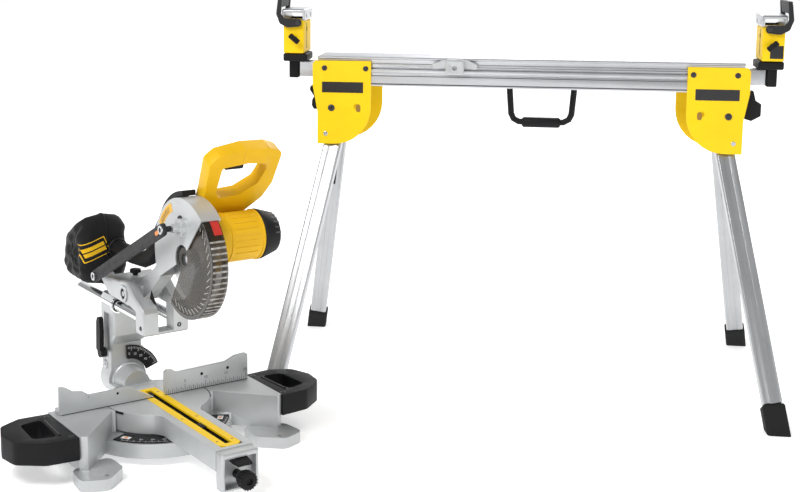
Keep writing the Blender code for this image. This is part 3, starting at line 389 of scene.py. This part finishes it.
# ------------------------------------------------------------------ building pieces
class Solid:
    """Loose closed shapes gathered into one piece."""

    def __init__(self):
        self.edit = bmesh.new()

    def hull(self, corners):
        """The convex hull of a few corners."""
        made = [self.edit.verts.new(c) for c in corners]
        result = bmesh.ops.convex_hull(self.edit, input=made)
        spare = [v for v in result["geom_interior"] if isinstance(v, bmesh.types.BMVert)]
        bmesh.ops.delete(self.edit, geom=spare, context="VERTS")
        return self

    def block(self, low, high, turn=None):
        """A box between two corners, optionally placed by a matrix."""
        spans = [(low[k], high[k]) for k in range(3)]
        corners = [Vector((x, y, z)) for x in spans[0] for y in spans[1] for z in spans[2]]
        return self.hull([turn @ c for c in corners] if turn else corners)

    def circle(self, centre, spin, radius, sides):
        """New vertices round a centre, in the plane that a rotation gives."""
        made = []
        for k in range(sides):
            a = 2 * math.pi * k / sides
            made.append(self.edit.verts.new(centre + spin @ Vector((math.cos(a), math.sin(a), 0)) * radius))
        return made

    def skin(self, rings):
        """A capped skin over a row of rings of vertices."""
        self.edit.faces.new(rings[0][::-1])
        self.edit.faces.new(rings[-1])
        for low, high in zip(rings, rings[1:]):
            for k in range(len(low)):
                m = (k + 1) % len(low)
                self.edit.faces.new((low[k], low[m], high[m], high[k]))
        return self

    def turned(self, start, end, profile, sides=28):
        """A turned shape along start to end; profile holds (share of the length, radius)."""
        start, end = Vector(start), Vector(end)
        along = end - start
        spin = along.to_track_quat("Z", "Y").to_matrix()
        return self.skin([self.circle(start + along * share, spin, radius, sides) for share, radius in profile])

    def ring(self, centre, axis, inner, outer, thick, sides=32):
        """A flat washer about an axis, standing out from its centre by its thickness."""
        centre, axis = Vector(centre), Vector(axis).normalized()
        spin = axis.to_track_quat("Z", "Y").to_matrix()
        corners = ((inner, 0.0), (outer, 0.0), (outer, thick), (inner, thick))
        loops = [self.circle(centre + axis * height, spin, radius, sides) for radius, height in corners]
        for a, b in zip(loops, loops[1:] + loops[:1]):
            for k in range(sides):
                m = (k + 1) % sides
                self.edit.faces.new((a[k], b[k], b[m], a[m]))
        return self

    def outline(self, points, plane, low, high):
        """A straight-sided plate over an outline."""
        order = {"XY": (0, 1, 2), "XZ": (0, 2, 1), "YZ": (1, 2, 0)}[plane]
        loops = []
        for height in (low, high):
            loop = []
            for a, b in points:
                spot = [0.0, 0.0, 0.0]
                spot[order[0]], spot[order[1]], spot[order[2]] = a, b, height
                loop.append(self.edit.verts.new(spot))
            loops.append(loop)
        return self.skin(loops)

    def tube(self, points, radius, sides=12):
        """A round bar through points."""
        points = [Vector(p) for p in points]
        rings = []
        for k, point in enumerate(points):
            ahead = points[min(k + 1, len(points) - 1)] - points[max(k - 1, 0)]
            spin = ahead.to_track_quat("Z", "Y").to_matrix()
            rings.append(self.circle(point, spin, radius, sides))
        return self.skin(rings)

    def done(self, name, body, look, matrix, width=0.0003, slot=None, smooth=35):
        """The gathered shapes as one piece riding on a body."""
        bmesh.ops.recalc_face_normals(self.edit, faces=self.edit.faces)
        mesh = bpy.data.meshes.new(name)
        self.edit.to_mesh(mesh)
        self.edit.free()
        obj = bpy.data.objects.new(name, mesh)
        bpy.context.scene.collection.objects.link(obj)
        if width:
            bevel = obj.modifiers.new("edges", "BEVEL")
            bevel.width = width
            bevel.segments = 2
            bevel.limit_method = "ANGLE"
            bevel.angle_limit = math.radians(30)
        mesh.shade_smooth()
        mesh.set_sharp_from_angle(angle=math.radians(smooth))
        return place(obj, name, body, look, matrix)


def lettering(name, marks, size, body, look, matrix):
    """Short numerals as one flat mesh; marks holds (text, placement matrix)."""
    gathered = bmesh.new()
    for text, spot in marks:
        curve = bpy.data.curves.new(name, "FONT")
        curve.body = text
        curve.size = size
        curve.align_x = "CENTER"
        curve.align_y = "CENTER"
        curve.resolution_u = 3
        carrier = bpy.data.objects.new(name, curve)
        mesh = bpy.data.meshes.new_from_object(carrier)
        mesh.transform(spot)
        gathered.from_mesh(mesh)
        bpy.data.objects.remove(carrier)
        bpy.data.curves.remove(curve)
        bpy.data.meshes.remove(mesh)
    mesh = bpy.data.meshes.new(name)
    gathered.to_mesh(mesh)
    gathered.free()
    obj = bpy.data.objects.new(name, mesh)
    bpy.context.scene.collection.objects.link(obj)
    return place(obj, name, body, look, matrix)


def screw(solid, at, out, radius, head=0.002):
    """A domed screw head with a socket, standing out of a surface."""
    at, out = Vector(at), Vector(out).normalized()
    dome = [(0.0, radius), (0.55, radius), (0.9, radius * 0.8), (1.0, radius * 0.5)]
    socket = [(0.7, radius * 0.45), (0.3, radius * 0.4)]
    return solid.turned(at - out * 0.0003, at + out * head, dome + socket, 24)


# The rounding of each node's edges; 0 carries the CAD mesh over as it is.
EDGE_WIDTH = {
    "beam": 0.0006, "carry_handle": 0.0012, "beam_clamp": 0.002, "saw_base": 0.003, "turntable": 0.003,
    "fence_left": 0.0012, "fence_right": 0.0012, "bevel_column": 0.003, "head_bracket": 0.003,
    "upper_guard": 0.0015, "main_handle": 0.004, "motor_housing": 0.003, "motor_cap": 0.002, "battery": 0.003,
    "lower_guard": 0.0006, "slide_rail_left": 0.001, "slide_rail_right": 0.001,
    "blade": 0.0, "kerf_plate": 0.0, "mitre_scale": 0.0, "bevel_scale": 0.0, "guard_link": 0.0008,
}
NODES.pop("dust_bag")
for node in NODES:
    width = EDGE_WIDTH.get(node, 0.001)
    look = {"leg": "leg_aluminium"}.get(node.split("_")[0])
    if width:
        refine(node, width, look)
    else:
        NODES[node].data.materials.clear()
        NODES[node].data.materials.append(LOOKS[look or SLOT_OF[node]])


# ------------------------------------------------------------------ the stand
def stand_details():
    """Screws and labels of the brackets and supports, painted shade in their slots, and painted shade lines in
    the beam's grooves.
    """
    face = -BRACKET_FACE
    dark = Solid()
    bright = Solid()
    labels = Solid()
    slots = Solid()
    for side in (-1, 1):
        for x in (0.483, 0.383):
            screw(dark, (side * x, face, 0.757), (0, -1, 0), 0.0066)
        screw(dark, (side * 0.466, face, 0.661), (0, -1, 0), 0.0082, 0.003)
        screw(bright, (side * 0.480, face, 0.598), (0, -1, 0), 0.0055)
        for x, z in ((0.483, 0.757), (0.383, 0.757), (0.466, 0.661)):
            screw(dark, (side * x, -face, z), (0, 1, 0), 0.0066)
        low, high = sorted((side * 0.389, side * 0.489))
        labels.block((low, face - 0.0005, 0.698), (high, face + 0.0004, 0.724))
        # Brown ovals on the bracket faces: painted shade standing for the slots, no openings.
        points = oval(side * 0.4005, 0.661, 0.0055, 0.0095)
        slots.outline(points, "XZ", face - 0.0003, face + 0.0004)
    dark.done("bracket_screws", "stand", "dark_screw", STAND)
    # Dark grey lines on both beam faces: painted shade in the grooves.
    groove_shades = Solid()
    for out in (-1, 1):
        near, far = sorted((out * (BEAM_FACE - 0.0004), out * (BEAM_FACE + 0.00012)))
        for low, high in ((0.7392, 0.7410), (0.7190, 0.7222), (0.7688, 0.7696)):
            groove_shades.block((-0.370, near, low), (0.370, far, high))
    groove_shades.done("beam_groove_shade_lines", "stand", "grey_print_and_shade", STAND, 0)
    bright.done("bracket_small_screws", "stand", "screw_steel", STAND)
    labels.done("bracket_labels", "stand", "label", STAND, 0.0002)
    slots.done("bracket_slot_shades", "stand", "painted_shade_brown", STAND, 0)

    for side, name in ((-1, "left"), (1, "right")):
        body = "support_" + name
        # A black strip and cross bar on the support's inner face: painted shade of its slot.
        marks = Solid()
        inner = side * 0.536
        low, high = sorted((inner - side * 0.0004, inner + side * 0.0006))
        marks.block((low, -0.012, 0.800), (high, -0.009, 0.862))
        marks.block((low, -0.014, 0.842), (high, -0.004, 0.852))
        marks.done("support_slot_shade_" + name, body, "painted_shade_black", STAND, 0)
        if side > 0:
            label = Solid().block((0.5540, -0.0505, 0.7960), (0.5835, -0.0495, 0.8260))
            label.done("support_label_" + name, body, "label", STAND, 0.0002)
        bolt = Solid()
        for y, out in ((-0.0590, -1), (0.0590, 1)):
            screw(bolt, (side * 0.549, y, 0.864), (0, out, 0), 0.0060, 0.0025)
        bolt.done("stop_bolts_" + name, "stop_" + name, "dark_screw", STAND)


def oval(x, y, half_width, half_height, steps=10):
    """An upright slot outline."""
    points = []
    for k in range(steps + 1):
        a = math.pi * k / steps
        points.append((x + half_width * math.cos(a), y + half_height - half_width + half_width * math.sin(a)))
    for k in range(steps + 1):
        a = math.pi + math.pi * k / steps
        points.append((x + half_width * math.cos(a), y - half_height + half_width + half_width * math.sin(a)))
    return points


def leg_details():
    """Black glide strips in the grooves of the rear legs."""
    for side, name in ((-1, "left"), (1, "right")):
        pivot = Vector((side * 0.4615, 0.033, 0.585))
        foot = Vector((side * 0.568, 0.335, 0.0))
        up = (pivot - foot).normalized()
        across = (Vector((1, 0, 0)) - up * up.x).normalized()
        turn = Matrix((across, up.cross(across), up)).transposed().to_4x4()
        spot = Matrix.Translation(foot) @ turn
        length = (pivot - foot).length
        strip = Solid().block((-0.0055, -0.0149, length - 0.150), (0.0055, -0.0137, length + 0.020), spot)
        strip.done("leg_strip_" + name, "leg_rear_" + name, "black_plastic", STAND)


# ------------------------------------------------------------------ base, scales and fences
def base_details():
    """The mitre scale's marks, the two white patches on it, and the side handles' screws and bars."""
    top = SCALE_TOP
    ticks = Solid()
    numerals = []
    for degrees in range(-55, 56):
        if degrees % 5:
            inner, outer, half = 0.1485, 0.1515, 0.00025
        else:
            inner, outer, half = 0.1445, 0.1515, 0.0004
        turn = Matrix.Rotation(math.radians(degrees - 90), 4, "Z")
        ticks.block((inner, -half, top - 0.0002), (outer, half, top + 0.0002), turn)
    for degrees in range(-40, 41, 10):
        turn = Matrix.Rotation(math.radians(degrees), 4, "Z")
        spot = turn @ Matrix.Translation((0, -0.1375, top + 0.0002))
        numerals.append((str(abs(degrees)), spot))
    ticks.done("mitre_ticks", "saw", "white_print", SAW, 0)
    lettering("mitre_numerals", numerals, 0.0085, "saw", "white_print", SAW)
    patches = Solid()
    cores = Solid()
    for degrees in (-54, 54):
        turn = Matrix.Rotation(math.radians(degrees), 4, "Z")
        patches.block((-0.010, -0.141, top - 0.0002), (0.010, -0.129, top + 0.0003), turn)
        cores.block((-0.004, -0.138, top), (0.004, -0.132, top + 0.0005), turn)
    patches.done("scale_patches", "saw", "white_print", SAW, 0)
    cores.done("scale_patch_marks", "saw", "orange_print", SAW, 0)

    for side, name in ((-1, "left"), (1, "right")):
        screws = Solid()
        for y in (0.014, -0.117):
            screw(screws, (side * 0.243, y, SIDE_SCREW_Z), (0, 0, 1), 0.0060, 0.0009)
        screws.done("side_handle_screws_" + name, "saw", "dark_screw", SAW)
        bar = Solid().tube([(side * 0.2545, -0.004, 0.0922), (side * 0.2595, -0.098, 0.0922)], 0.0028)
        bar.done("side_handle_bar_" + name, "saw", "gloss_black", SAW, 0, "black_plastic")


def fence_details():
    """The centimetre ruler on the tall fence half, painted shade in the holes of both, a painted shadow line
    under each.
    """
    ticks = Solid()
    numerals = []
    for k in range(0, 42):
        x = 0.0165 + 0.005 * k
        if not 0.0195 < x < 0.221:
            continue
        tall = 0.016 if k % 10 == 0 else 0.011 if k % 2 == 0 else 0.0075
        ticks.block((x - 0.00045, -0.00025, 0.0952), (x + 0.00045, 0.0002, 0.0952 + tall))
        if k and k % 10 == 0:
            inward = 0.002 if k == 40 else 0.0
            spot = Matrix.Translation((x - inward, -0.0003, 0.1175))
            numerals.append((str(k // 2), spot @ UPRIGHT))
    ticks.done("fence_ticks", "fence_right", "grey_print_and_shade", SAW, 0)
    for name, low, high in (("left", -0.215, -0.008), ("right", 0.019, 0.221)):
        # A black strip along each fence half's foot: painted shadow where it meets the table.
        shadow = Solid().block((low, -0.0004, TABLE_TOP + 0.0003), (high, 0.0004, TABLE_TOP + 0.0014))
        shadow.done("fence_foot_shadow_" + name, "fence_" + name, "painted_shade_black", SAW, 0)
    lettering("fence_numerals", numerals, 0.0095, "fence_right", "grey_print_and_shade", SAW)
    # Black discs on the fence faces: painted shade standing for the holes.
    holes = Solid()
    for x, z in ((0.107, 0.1265), (0.171, 0.1290)):
        holes.turned((x, 0.0002, z), (x, -0.0004, z), [(0.0, 0.0034), (1.0, 0.0034)], 20)
    holes.done("fence_right_hole_shades", "fence_right", "painted_shade_black", SAW, 0)
    left = Solid()
    left.turned((-0.091, 0.0002, 0.1190), (-0.091, -0.0004, 0.1190), [(0.0, 0.0028), (1.0, 0.0028)], 20)
    left.done("fence_left_hole_shade", "fence_left", "painted_shade_black", SAW, 0)
    bolt = screw(Solid(), (-0.158, -0.0001, 0.1255), (0, -1, 0), 0.0042, 0.0015)
    bolt.done("fence_left_screw", "fence_left", "screw_steel", SAW)


def table_details():
    """The kerf's clip and screws, painted shade in its pocket and in the gap round the disc, the trunnion's
    boss, the knob's ribs.
    """
    clip = Solid().block((-0.0070, -0.212, 0.0885), (0.0070, -0.186, 0.0925))
    clip.block((-0.0050, -0.206, 0.0920), (0.0050, -0.192, 0.0936))
    clip.done("kerf_clip", "table", "black_plastic", SAW, 0.0006)
    # Black films on the pocket's floor and walls: painted shade down in the kerf pocket.
    pocket = Solid().block((-0.0138, -0.3205, 0.0699), (0.0138, 0.0470, 0.0703))
    for side in (-1, 1):
        low, high = sorted((side * 0.0141, side * 0.0137))
        pocket.block((low, -0.3205, 0.0702), (high, 0.0470, 0.0895))
    pocket.done("kerf_pocket_shadow", "table", "painted_shade_black", SAW, 0)
    screws = Solid()
    for y in (-0.300, -0.150, 0.030):
        for x in (-0.0165, 0.0165):
            screw(screws, (x, y, 0.0939), (0, 0, 1), 0.0028, 0.0003)
    screws.done("kerf_screws", "table", "dark_screw", SAW, 0)
    # A black ring round the disc: painted shade in the gap between disc and base.
    gap = []
    for radius, first, last in ((0.1138, -26, 206), (0.1122, 206, -26)):
        for k in range(49):
            a = math.radians(first + (last - first) * k / 48)
            gap.append((radius * math.cos(a), radius * math.sin(a)))
    Solid().outline(gap, "XY", 0.0890, 0.0938).done("turntable_gap_shade", "saw", "painted_shade_black", SAW, 0)
    profile = [(0, 0.0395), (0.75, 0.0385), (1.0, 0.0345)]
    boss = Solid().turned((0, 0.1495, TABLE_TOP), (0, 0.1390, TABLE_TOP), profile, 48)
    boss.block((-0.020, 0.1335, 0.1080), (0.012, 0.1400, 0.1190))
    boss.done("trunnion_boss", "table", "cast_aluminium", SAW, 0.0015, smooth=40)
    ribs = Solid()
    for k in range(18):
        a = 2 * math.pi * k / 18
        x, z = 0.0170 * math.cos(a), 0.042 + 0.0170 * math.sin(a)
        ribs.tube([(x, -0.3790, z), (x, -0.3975, z)], 0.0016, 8)
    ribs.done("mitre_knob_ribs", "mitre_knob", "black_plastic", SAW, 0)


def column_details():
    """Rail collars, the bevel scale's marks, the column's side screw."""
    collars = Solid()
    seals = Solid()
    for x in (-0.031, 0.031):
        collars.ring((x, 0.1245, RAIL_Z), (0, -1, 0), 0.0142, 0.0180, 0.0030)
        seals.ring((x, 0.1245, RAIL_Z), (0, -1, 0), 0.0125, 0.0142, 0.0018)
    collars.done("rail_collars", "bevel_column", "chrome", SAW)
    seals.done("rail_seals", "bevel_column", "black_plastic", SAW, 0)
    pad = Solid().turned((-0.0418, 0.172, 0.1280), (-0.0450, 0.172, 0.1280), [(0, 0.0105), (1.0, 0.0095)], 28)
    pad.done("column_pad", "bevel_column", "cast_aluminium", SAW, 0.0008)
    bolt = screw(Solid(), (-0.0450, 0.172, 0.1280), (-1, 0, 0), 0.0050, 0.0018)
    bolt.done("column_bolt", "bevel_column", "screw_steel", SAW)
    ticks = Solid()
    front = 0.1435
    for degrees in range(24, 93, 3):
        inner = 0.0640 if (degrees - 24) % 15 == 0 else 0.0685
        turn = Matrix.Translation((0, 0, TABLE_TOP)) @ Matrix.Rotation(-math.radians(degrees), 4, "Y")
        ticks.block((inner, front - 0.0002, -0.0004), (0.0735, front + 0.0002, 0.0004), turn)
    ticks.done("bevel_ticks", "bevel_column", "white_print", SAW, 0)
    numerals = []
    for text, degrees in (("0", 88), ("15", 74), ("30", 59), ("45", 44)):
        a = math.radians(degrees)
        spot = Matrix.Translation((0.0570 * math.cos(a), front - 0.0002, TABLE_TOP + 0.0570 * math.sin(a)))
        numerals.append((text, spot @ UPRIGHT))
    lettering("bevel_numerals", numerals, 0.0080, "bevel_column", "white_print", SAW)


def carriage_details():
    """The pivot boss with painted shade in its bore, the bracket's bolts, the lock knob's ribs, the link's end
    rings and orange mark.
    """
    pivot = PIVOT
    boss = Solid().ring(pivot, (-1, 0, 0), 0.0115, 0.0185, 0.0035)
    boss.done("pivot_boss", "carriage", "cast_aluminium", SAW, 0.0010)
    # A black disc inside the boss: painted shade in the pivot's bore.
    bore_shade = Solid().turned(pivot, pivot - Vector((0.0008, 0, 0)), [(0, 0.0118), (1, 0.0118)], 28)
    bore_shade.done("pivot_shadow", "carriage", "painted_shade_black", SAW, 0)
    bolt = screw(Solid(), pivot - Vector((0.0006, 0, 0)), (-1, 0, 0), 0.0060, 0.0020)
    bolt.done("pivot_bolt", "carriage", "screw_steel", SAW)
    clamp = Solid()
    screw(clamp, (0.030, -0.0495, 0.262), (0, -1, 0), 0.0050, 0.0020)
    screw(clamp, (-0.0515, -0.036, 0.262), (-1, 0, 0), 0.0050, 0.0020)
    clamp.done("bracket_bolts", "carriage", "dark_screw", SAW)
    ribs = Solid()
    for k in range(12):
        a = 2 * math.pi * k / 12
        x, y = 0.0108 * math.cos(a), 0.098 + 0.0108 * math.sin(a)
        ribs.tube([(x, y, 0.3475), (x, y, 0.3545)], 0.0014, 8)
    ribs.done("slide_lock_ribs", "slide_lock", "black_plastic", SAW, 0)
    ends = Solid()
    for pin in (LINK_REAR, LINK_FRONT):
        ends.ring((LINK_FACE, pin.y, pin.z), (-1, 0, 0), 0.0048, 0.0092, 0.0040)
    ends.done("link_rings", "guard_link", "screw_steel", SAW, 0.0005)
    along = (LINK_FRONT - LINK_REAR).normalized()
    over = Vector((0, -along.z, along.y))
    spot = LINK_FRONT - along * 0.024
    offsets = ((-0.007, -0.004), (0.007, -0.004), (0.007, 0.004), (-0.007, 0.004))
    corners = [spot + along * a + over * b for a, b in offsets]
    mark = Solid().outline([(c.y, c.z) for c in corners], "YZ", -0.0719, -0.0714)
    mark.done("link_mark", "guard_link", "orange_print", SAW, 0)


# ------------------------------------------------------------------ head
def around(radius, degrees):
    """A point in the blade's plane, degrees from straight ahead (-Y) towards +Z."""
    a = math.radians(degrees)
    return ARBOR_Y - radius * math.cos(a), ARBOR_Z + radius * math.sin(a)


def band(inner, outer, first, last, steps):
    """A ring sector's outline about the arbor."""
    points = [around(outer, first + (last - first) * k / steps) for k in range(steps + 1)]
    return points + [around(inner, last + (first - last) * k / steps) for k in range(steps + 1)]


def head_details():
    """The guard's sticker and pad, painted shade for the arm opening, the handle's seam, the motor's bands and
    ribs, painted shade for its vents.
    """
    sticker = Solid().outline(band(0.099, 0.117, 113, 150, 12), "YZ", GUARD_FACE - 0.0006, GUARD_FACE)
    sticker.done("guard_sticker", "head", "orange_yellow", SAW, 0)
    # A black triangle on the head: painted shade standing for the arm's opening.
    opening_shade = Solid().outline([(-0.036, 0.306), (-0.002, 0.309), (-0.012, 0.334)], "YZ", -0.0150, -0.0144)
    opening_shade.done("arm_opening_shade", "head", "painted_shade_black", SAW, 0)
    lines = Solid()
    for radius in (0.1030, 0.1065, 0.1100):
        stripe = band(radius, radius + 0.0012, 120, 146, 10)
        lines.outline(stripe, "YZ", GUARD_FACE - 0.0008, GUARD_FACE - 0.0002)
    lines.done("sticker_lines", "head", "black_print", SAW, 0)
    y, z = around(0.079, 94)
    pad = Solid().turned((GUARD_FACE, y, z), (GUARD_FACE - 0.0027, y, z), [(0, 0.0105), (1, 0.0095)], 28)
    pad.done("guard_pads", "head", "charcoal", SAW, 0.0006)
    bolt = screw(Solid(), (GUARD_FACE - 0.0027, y, z), (-1, 0, 0), 0.0050, 0.0018)
    bolt.done("guard_bolts", "head", "dark_screw", SAW)
    seam = Solid().block((0.0856, 0.0545, -0.0002), (0.0864, 0.0860, 0.0002), handle_frame())
    seam.done("handle_seam", "head", "yellow_dark", SAW, 0)
    bands = Solid()
    for x, thick in ((0.0500, 0.0040), (0.1205, 0.0045)):
        bands.ring((x, MOTOR.y, MOTOR.z), (1, 0, 0), 0.0490, 0.0515, thick, 48)
    bands.done("motor_bands", "head", "yellow_plastic", SAW, 0.0008)
    ribs = Solid()
    for degrees in range(-30, 91, 15):
        turn = Matrix.Translation(MOTOR) @ Matrix.Rotation(-math.radians(degrees), 4, "X")
        ribs.block((0.060, -0.0512, -0.0012), (0.112, -0.0490, 0.0012), turn)
    ribs.done("motor_ribs", "head", "yellow_plastic", SAW, 0.0006)
    # Dark grey slots on the motor cap: painted shade standing for the vents.
    vents = Solid()
    for k in range(6):
        spin = Matrix.Rotation(-math.radians(10 + 15 * k), 4, "X") @ Matrix.Rotation(CAP_SLOPE, 4, "Z")
        turn = Matrix.Translation((0.1460, MOTOR.y, MOTOR.z)) @ spin
        vents.block((-0.0072, -0.0448, -0.0016), (0.0072, -0.0438, 0.0016), turn)
    vents.done("motor_vent_shades", "head", "grey_print_and_shade", SAW, 0)


def handle_frame():
    """From the handle's own plane to saw coordinates, as the CAD builds it."""
    across = Vector((1, 0, 0))
    up = Vector((0, -math.sin(HANDLE_TILT), math.cos(HANDLE_TILT)))
    turn = Matrix((across, up, across.cross(up))).transposed().to_4x4()
    return Matrix.Translation(HANDLE_AT) @ turn


def guard_details():
    """Slanted slots, rim ribs and the red warning patch of the see-through guard."""
    slots = Solid()
    for k in range(20):
        degrees = -112 + 8.4 * k
        low, high = around(0.099, degrees - 3.2), around(0.110, degrees + 3.2)
        a, b = Vector((0, *low)), Vector((0, *high))
        along = (b - a).normalized()
        over = Vector((0, -along.z, along.y)) * 0.0006
        corners = [a - over, b - over, b + over, a + over]
        slots.outline([(c.y, c.z) for c in corners], "YZ", CHEEK_FACE - 0.0007, CHEEK_FACE)
    slots.done("guard_slots", "lower_guard", "guard_print", SAW, 0)
    ribs = Solid()
    for k in range(27):
        degrees = -119 + 5.6 * k
        turn = Matrix.Translation((0, ARBOR_Y, ARBOR_Z)) @ Matrix.Rotation(-math.radians(degrees), 4, "X")
        ribs.block((-0.0200, -0.1206, -0.0019), (0.0130, -0.1198, 0.0019), turn)
    ribs.done("guard_ribs", "lower_guard", "clear_rib", SAW, 0.0005)
    edge = Solid().outline(band(0.1120, 0.1203, -121, 63, 60), "YZ", CHEEK_FACE - 0.0009, CHEEK_FACE)
    edge.done("guard_edge", "lower_guard", "smoke_edge", SAW, 0.0003)
    patch = Solid().outline(band(0.1203, 0.1207, 33, 55, 10), "YZ", -0.0060, 0.0115)
    patch.done("guard_warning", "lower_guard", "red_print", SAW, 0)


# ------------------------------------------------------------------ dust bag
def dust_bag():
    """A slack nylon bag: two bulging sides on a curved seam, pulled towards its neck and sagging."""
    seam = [(0.191, 0.345), (0.191, 0.418), (0.198, 0.444), (0.214, 0.459), (0.234, 0.455), (0.262, 0.443)]
    seam += [(0.292, 0.425), (0.317, 0.403), (0.327, 0.370), (0.330, 0.334), (0.322, 0.311), (0.292, 0.300)]
    seam += [(0.256, 0.299), (0.225, 0.299), (0.204, 0.304), (0.193, 0.320)]
    count = len(seam)
    fine = 6
    rim = []
    for k in range(count * fine):
        t = k / fine
        i = int(t)
        p = [Vector((*seam[(i + j) % count], 0.0)) for j in (-1, 0, 1, 2)]
        f = t - i
        point = 0.5 * (
            2 * p[1] + (p[2] - p[0]) * f + (2 * p[0] - 5 * p[1] + 4 * p[2] - p[3]) * f * f
            + (3 * p[1] - p[0] - 3 * p[2] + p[3]) * f ** 3
        )
        rim.append(point)
    rings = 14
    made = bmesh.new()
    layers = {}
    for sign in (-1, 1):
        for r in range(rings):
            share = r / rings
            bulge = (1 - (1 - share) ** 6.0) ** 0.5
            ring = []
            for k, point in enumerate(rim):
                spot = point.lerp(BAG_CENTRE, share)
                fold = math.sin(k * 0.47 + r * 0.55) * 0.5 + math.sin(k * 0.21 - r * 0.9 + sign) * 0.7
                crease = math.sin(spot.x * 190 + spot.y * 130 + 0.8 * math.sin(spot.y * 90)) * 0.0016
                depth = bulge * (BAG_HALF_DEPTH + 0.0022 * fold) + crease * bulge
                x = BAG_MIDDLE + sign * (0.0012 + max(depth, 0.0))
                ring.append(made.verts.new((x, spot.x, spot.y)))
            layers[sign, r] = ring
        layers[sign, rings] = made.verts.new((BAG_MIDDLE + sign * 0.0555, BAG_CENTRE.x, BAG_CENTRE.y))
    total = len(rim)
    for sign in (-1, 1):
        for r in range(rings - 1):
            outer, inner = layers[sign, r], layers[sign, r + 1]
            for k in range(total):
                m = (k + 1) % total
                made.faces.new((outer[k], outer[m], inner[m], inner[k]))
        for k in range(total):
            m = (k + 1) % total
            made.faces.new((layers[sign, rings - 1][k], layers[sign, rings - 1][m], layers[sign, rings]))
    for k in range(total):
        m = (k + 1) % total
        made.faces.new((layers[-1, 0][k], layers[-1, 0][m], layers[1, 0][m], layers[1, 0][k]))
    bmesh.ops.recalc_face_normals(made, faces=made.faces)
    mesh = bpy.data.meshes.new("dust_bag_cloth")
    made.to_mesh(mesh)
    made.free()
    mesh.shade_smooth()
    bag = bpy.data.objects.new("dust_bag_cloth", mesh)
    bpy.context.scene.collection.objects.link(bag)
    place(bag, "dust_bag_cloth", "head", "dust_cloth", SAW, "dust_bag")
    seam_cord = Solid().tube([(BAG_MIDDLE, p.x, p.y) for p in rim + rim[:1]], 0.0014, 8)
    seam_cord.done("dust_bag_piping", "head", "black_plastic", SAW, 0)
    profile = [(0, 0.0205), (0.3, 0.0225), (0.7, 0.0225), (1, 0.0205)]
    neck = Solid().turned((0, 0.1835, NECK_Z), (0, 0.1925, NECK_Z), profile, 36)
    neck.done("dust_bag_neck", "head", "black_plastic", SAW, 0.0005)


stand_details()
leg_details()
base_details()
fence_details()
table_details()
column_details()
carriage_details()
head_details()
guard_details()
dust_bag()


# ------------------------------------------------------------------ stage
bpy.ops.mesh.primitive_plane_add(size=30.0, location=(STAND_AT.x, STAND_AT.y, 0.0))
floor = bpy.context.object
floor.name = "floor"
white = Graph("floor_white")
speck = white.noise(40.0, white.place(), 2.0)
white.surface({"Base Color": white.tint(speck, (0.93, 0.93, 0.93), (0.96, 0.96, 0.96))})
white.surface({"Roughness": white.spread(speck, 0.7, 0.8), "Emission Color": (1.0, 1.0, 1.0, 1.0)})
away = white.add("ShaderNodeVectorMath", {0: white.place()}, operation="LENGTH").outputs["Value"]
white.surface({"Emission Strength": white.spread(away, 0.40, 1.0, 1.1, 4.5)})
floor.data.materials.append(white.material)

world = bpy.data.worlds.new("studio")
bpy.context.scene.world = world
world.use_nodes = True
sky = world.node_tree.nodes
toward = sky.new("ShaderNodeTexCoord")
parts = sky.new("ShaderNodeSeparateXYZ")
glow = sky.new("ShaderNodeMapRange")
for socket, value in (("From Min", 0.55), ("From Max", 0.85), ("To Min", 0.38), ("To Max", 1.0)):
    glow.inputs[socket].default_value = value
sky["Background"].inputs["Color"].default_value = (1.0, 1.0, 1.0, 1.0)
for start, end in (
    (toward.outputs["Generated"], parts.inputs[0]),
    (parts.outputs["Y"], glow.inputs["Value"]),
    (glow.outputs["Result"], sky["Background"].inputs["Strength"]),
):
    world.node_tree.links.new(start, end)


def lamp(name, at, aim, power, width, height):
    """An area light at a point, aimed at another, both from the stand's centre."""
    data = bpy.data.lights.new(name, "AREA")
    data.shape = "RECTANGLE"
    data.size = width
    data.size_y = height
    data.energy = power
    obj = bpy.data.objects.new(name, data)
    bpy.context.scene.collection.objects.link(obj)
    obj.location = STAND_AT + Vector(at)
    obj.rotation_euler = (Vector(aim) - Vector(at)).to_track_quat("-Z", "Y").to_euler()


lamp("key", (-1.8, -2.4, 3.0), (0.0, 0.0, 0.4), 80.0, 1.4, 1.4)
lamp("fill", (2.8, -2.2, 1.6), (0.0, 0.0, 0.4), 20.0, 1.8, 1.8)
lamp("back", (0.6, 2.6, 2.6), (0.0, 0.0, 0.5), 40.0, 2.4, 1.2)

camera_data = bpy.data.cameras.new("camera")
camera = bpy.data.objects.new("camera", camera_data)
bpy.context.scene.collection.objects.link(camera)
camera.location = STAND_AT + Vector((0.0386, -3.2576, 1.0632))
camera.rotation_euler = (math.radians(90.0 - 9.19), math.radians(-0.303), math.radians(8.2))
camera_data.lens = 60.66
camera_data.sensor_width = 36.0
camera_data.shift_x = 0.062
camera_data.shift_y = -0.111
bpy.context.scene.camera = camera
bpy.context.scene.view_settings.view_transform = "Standard"
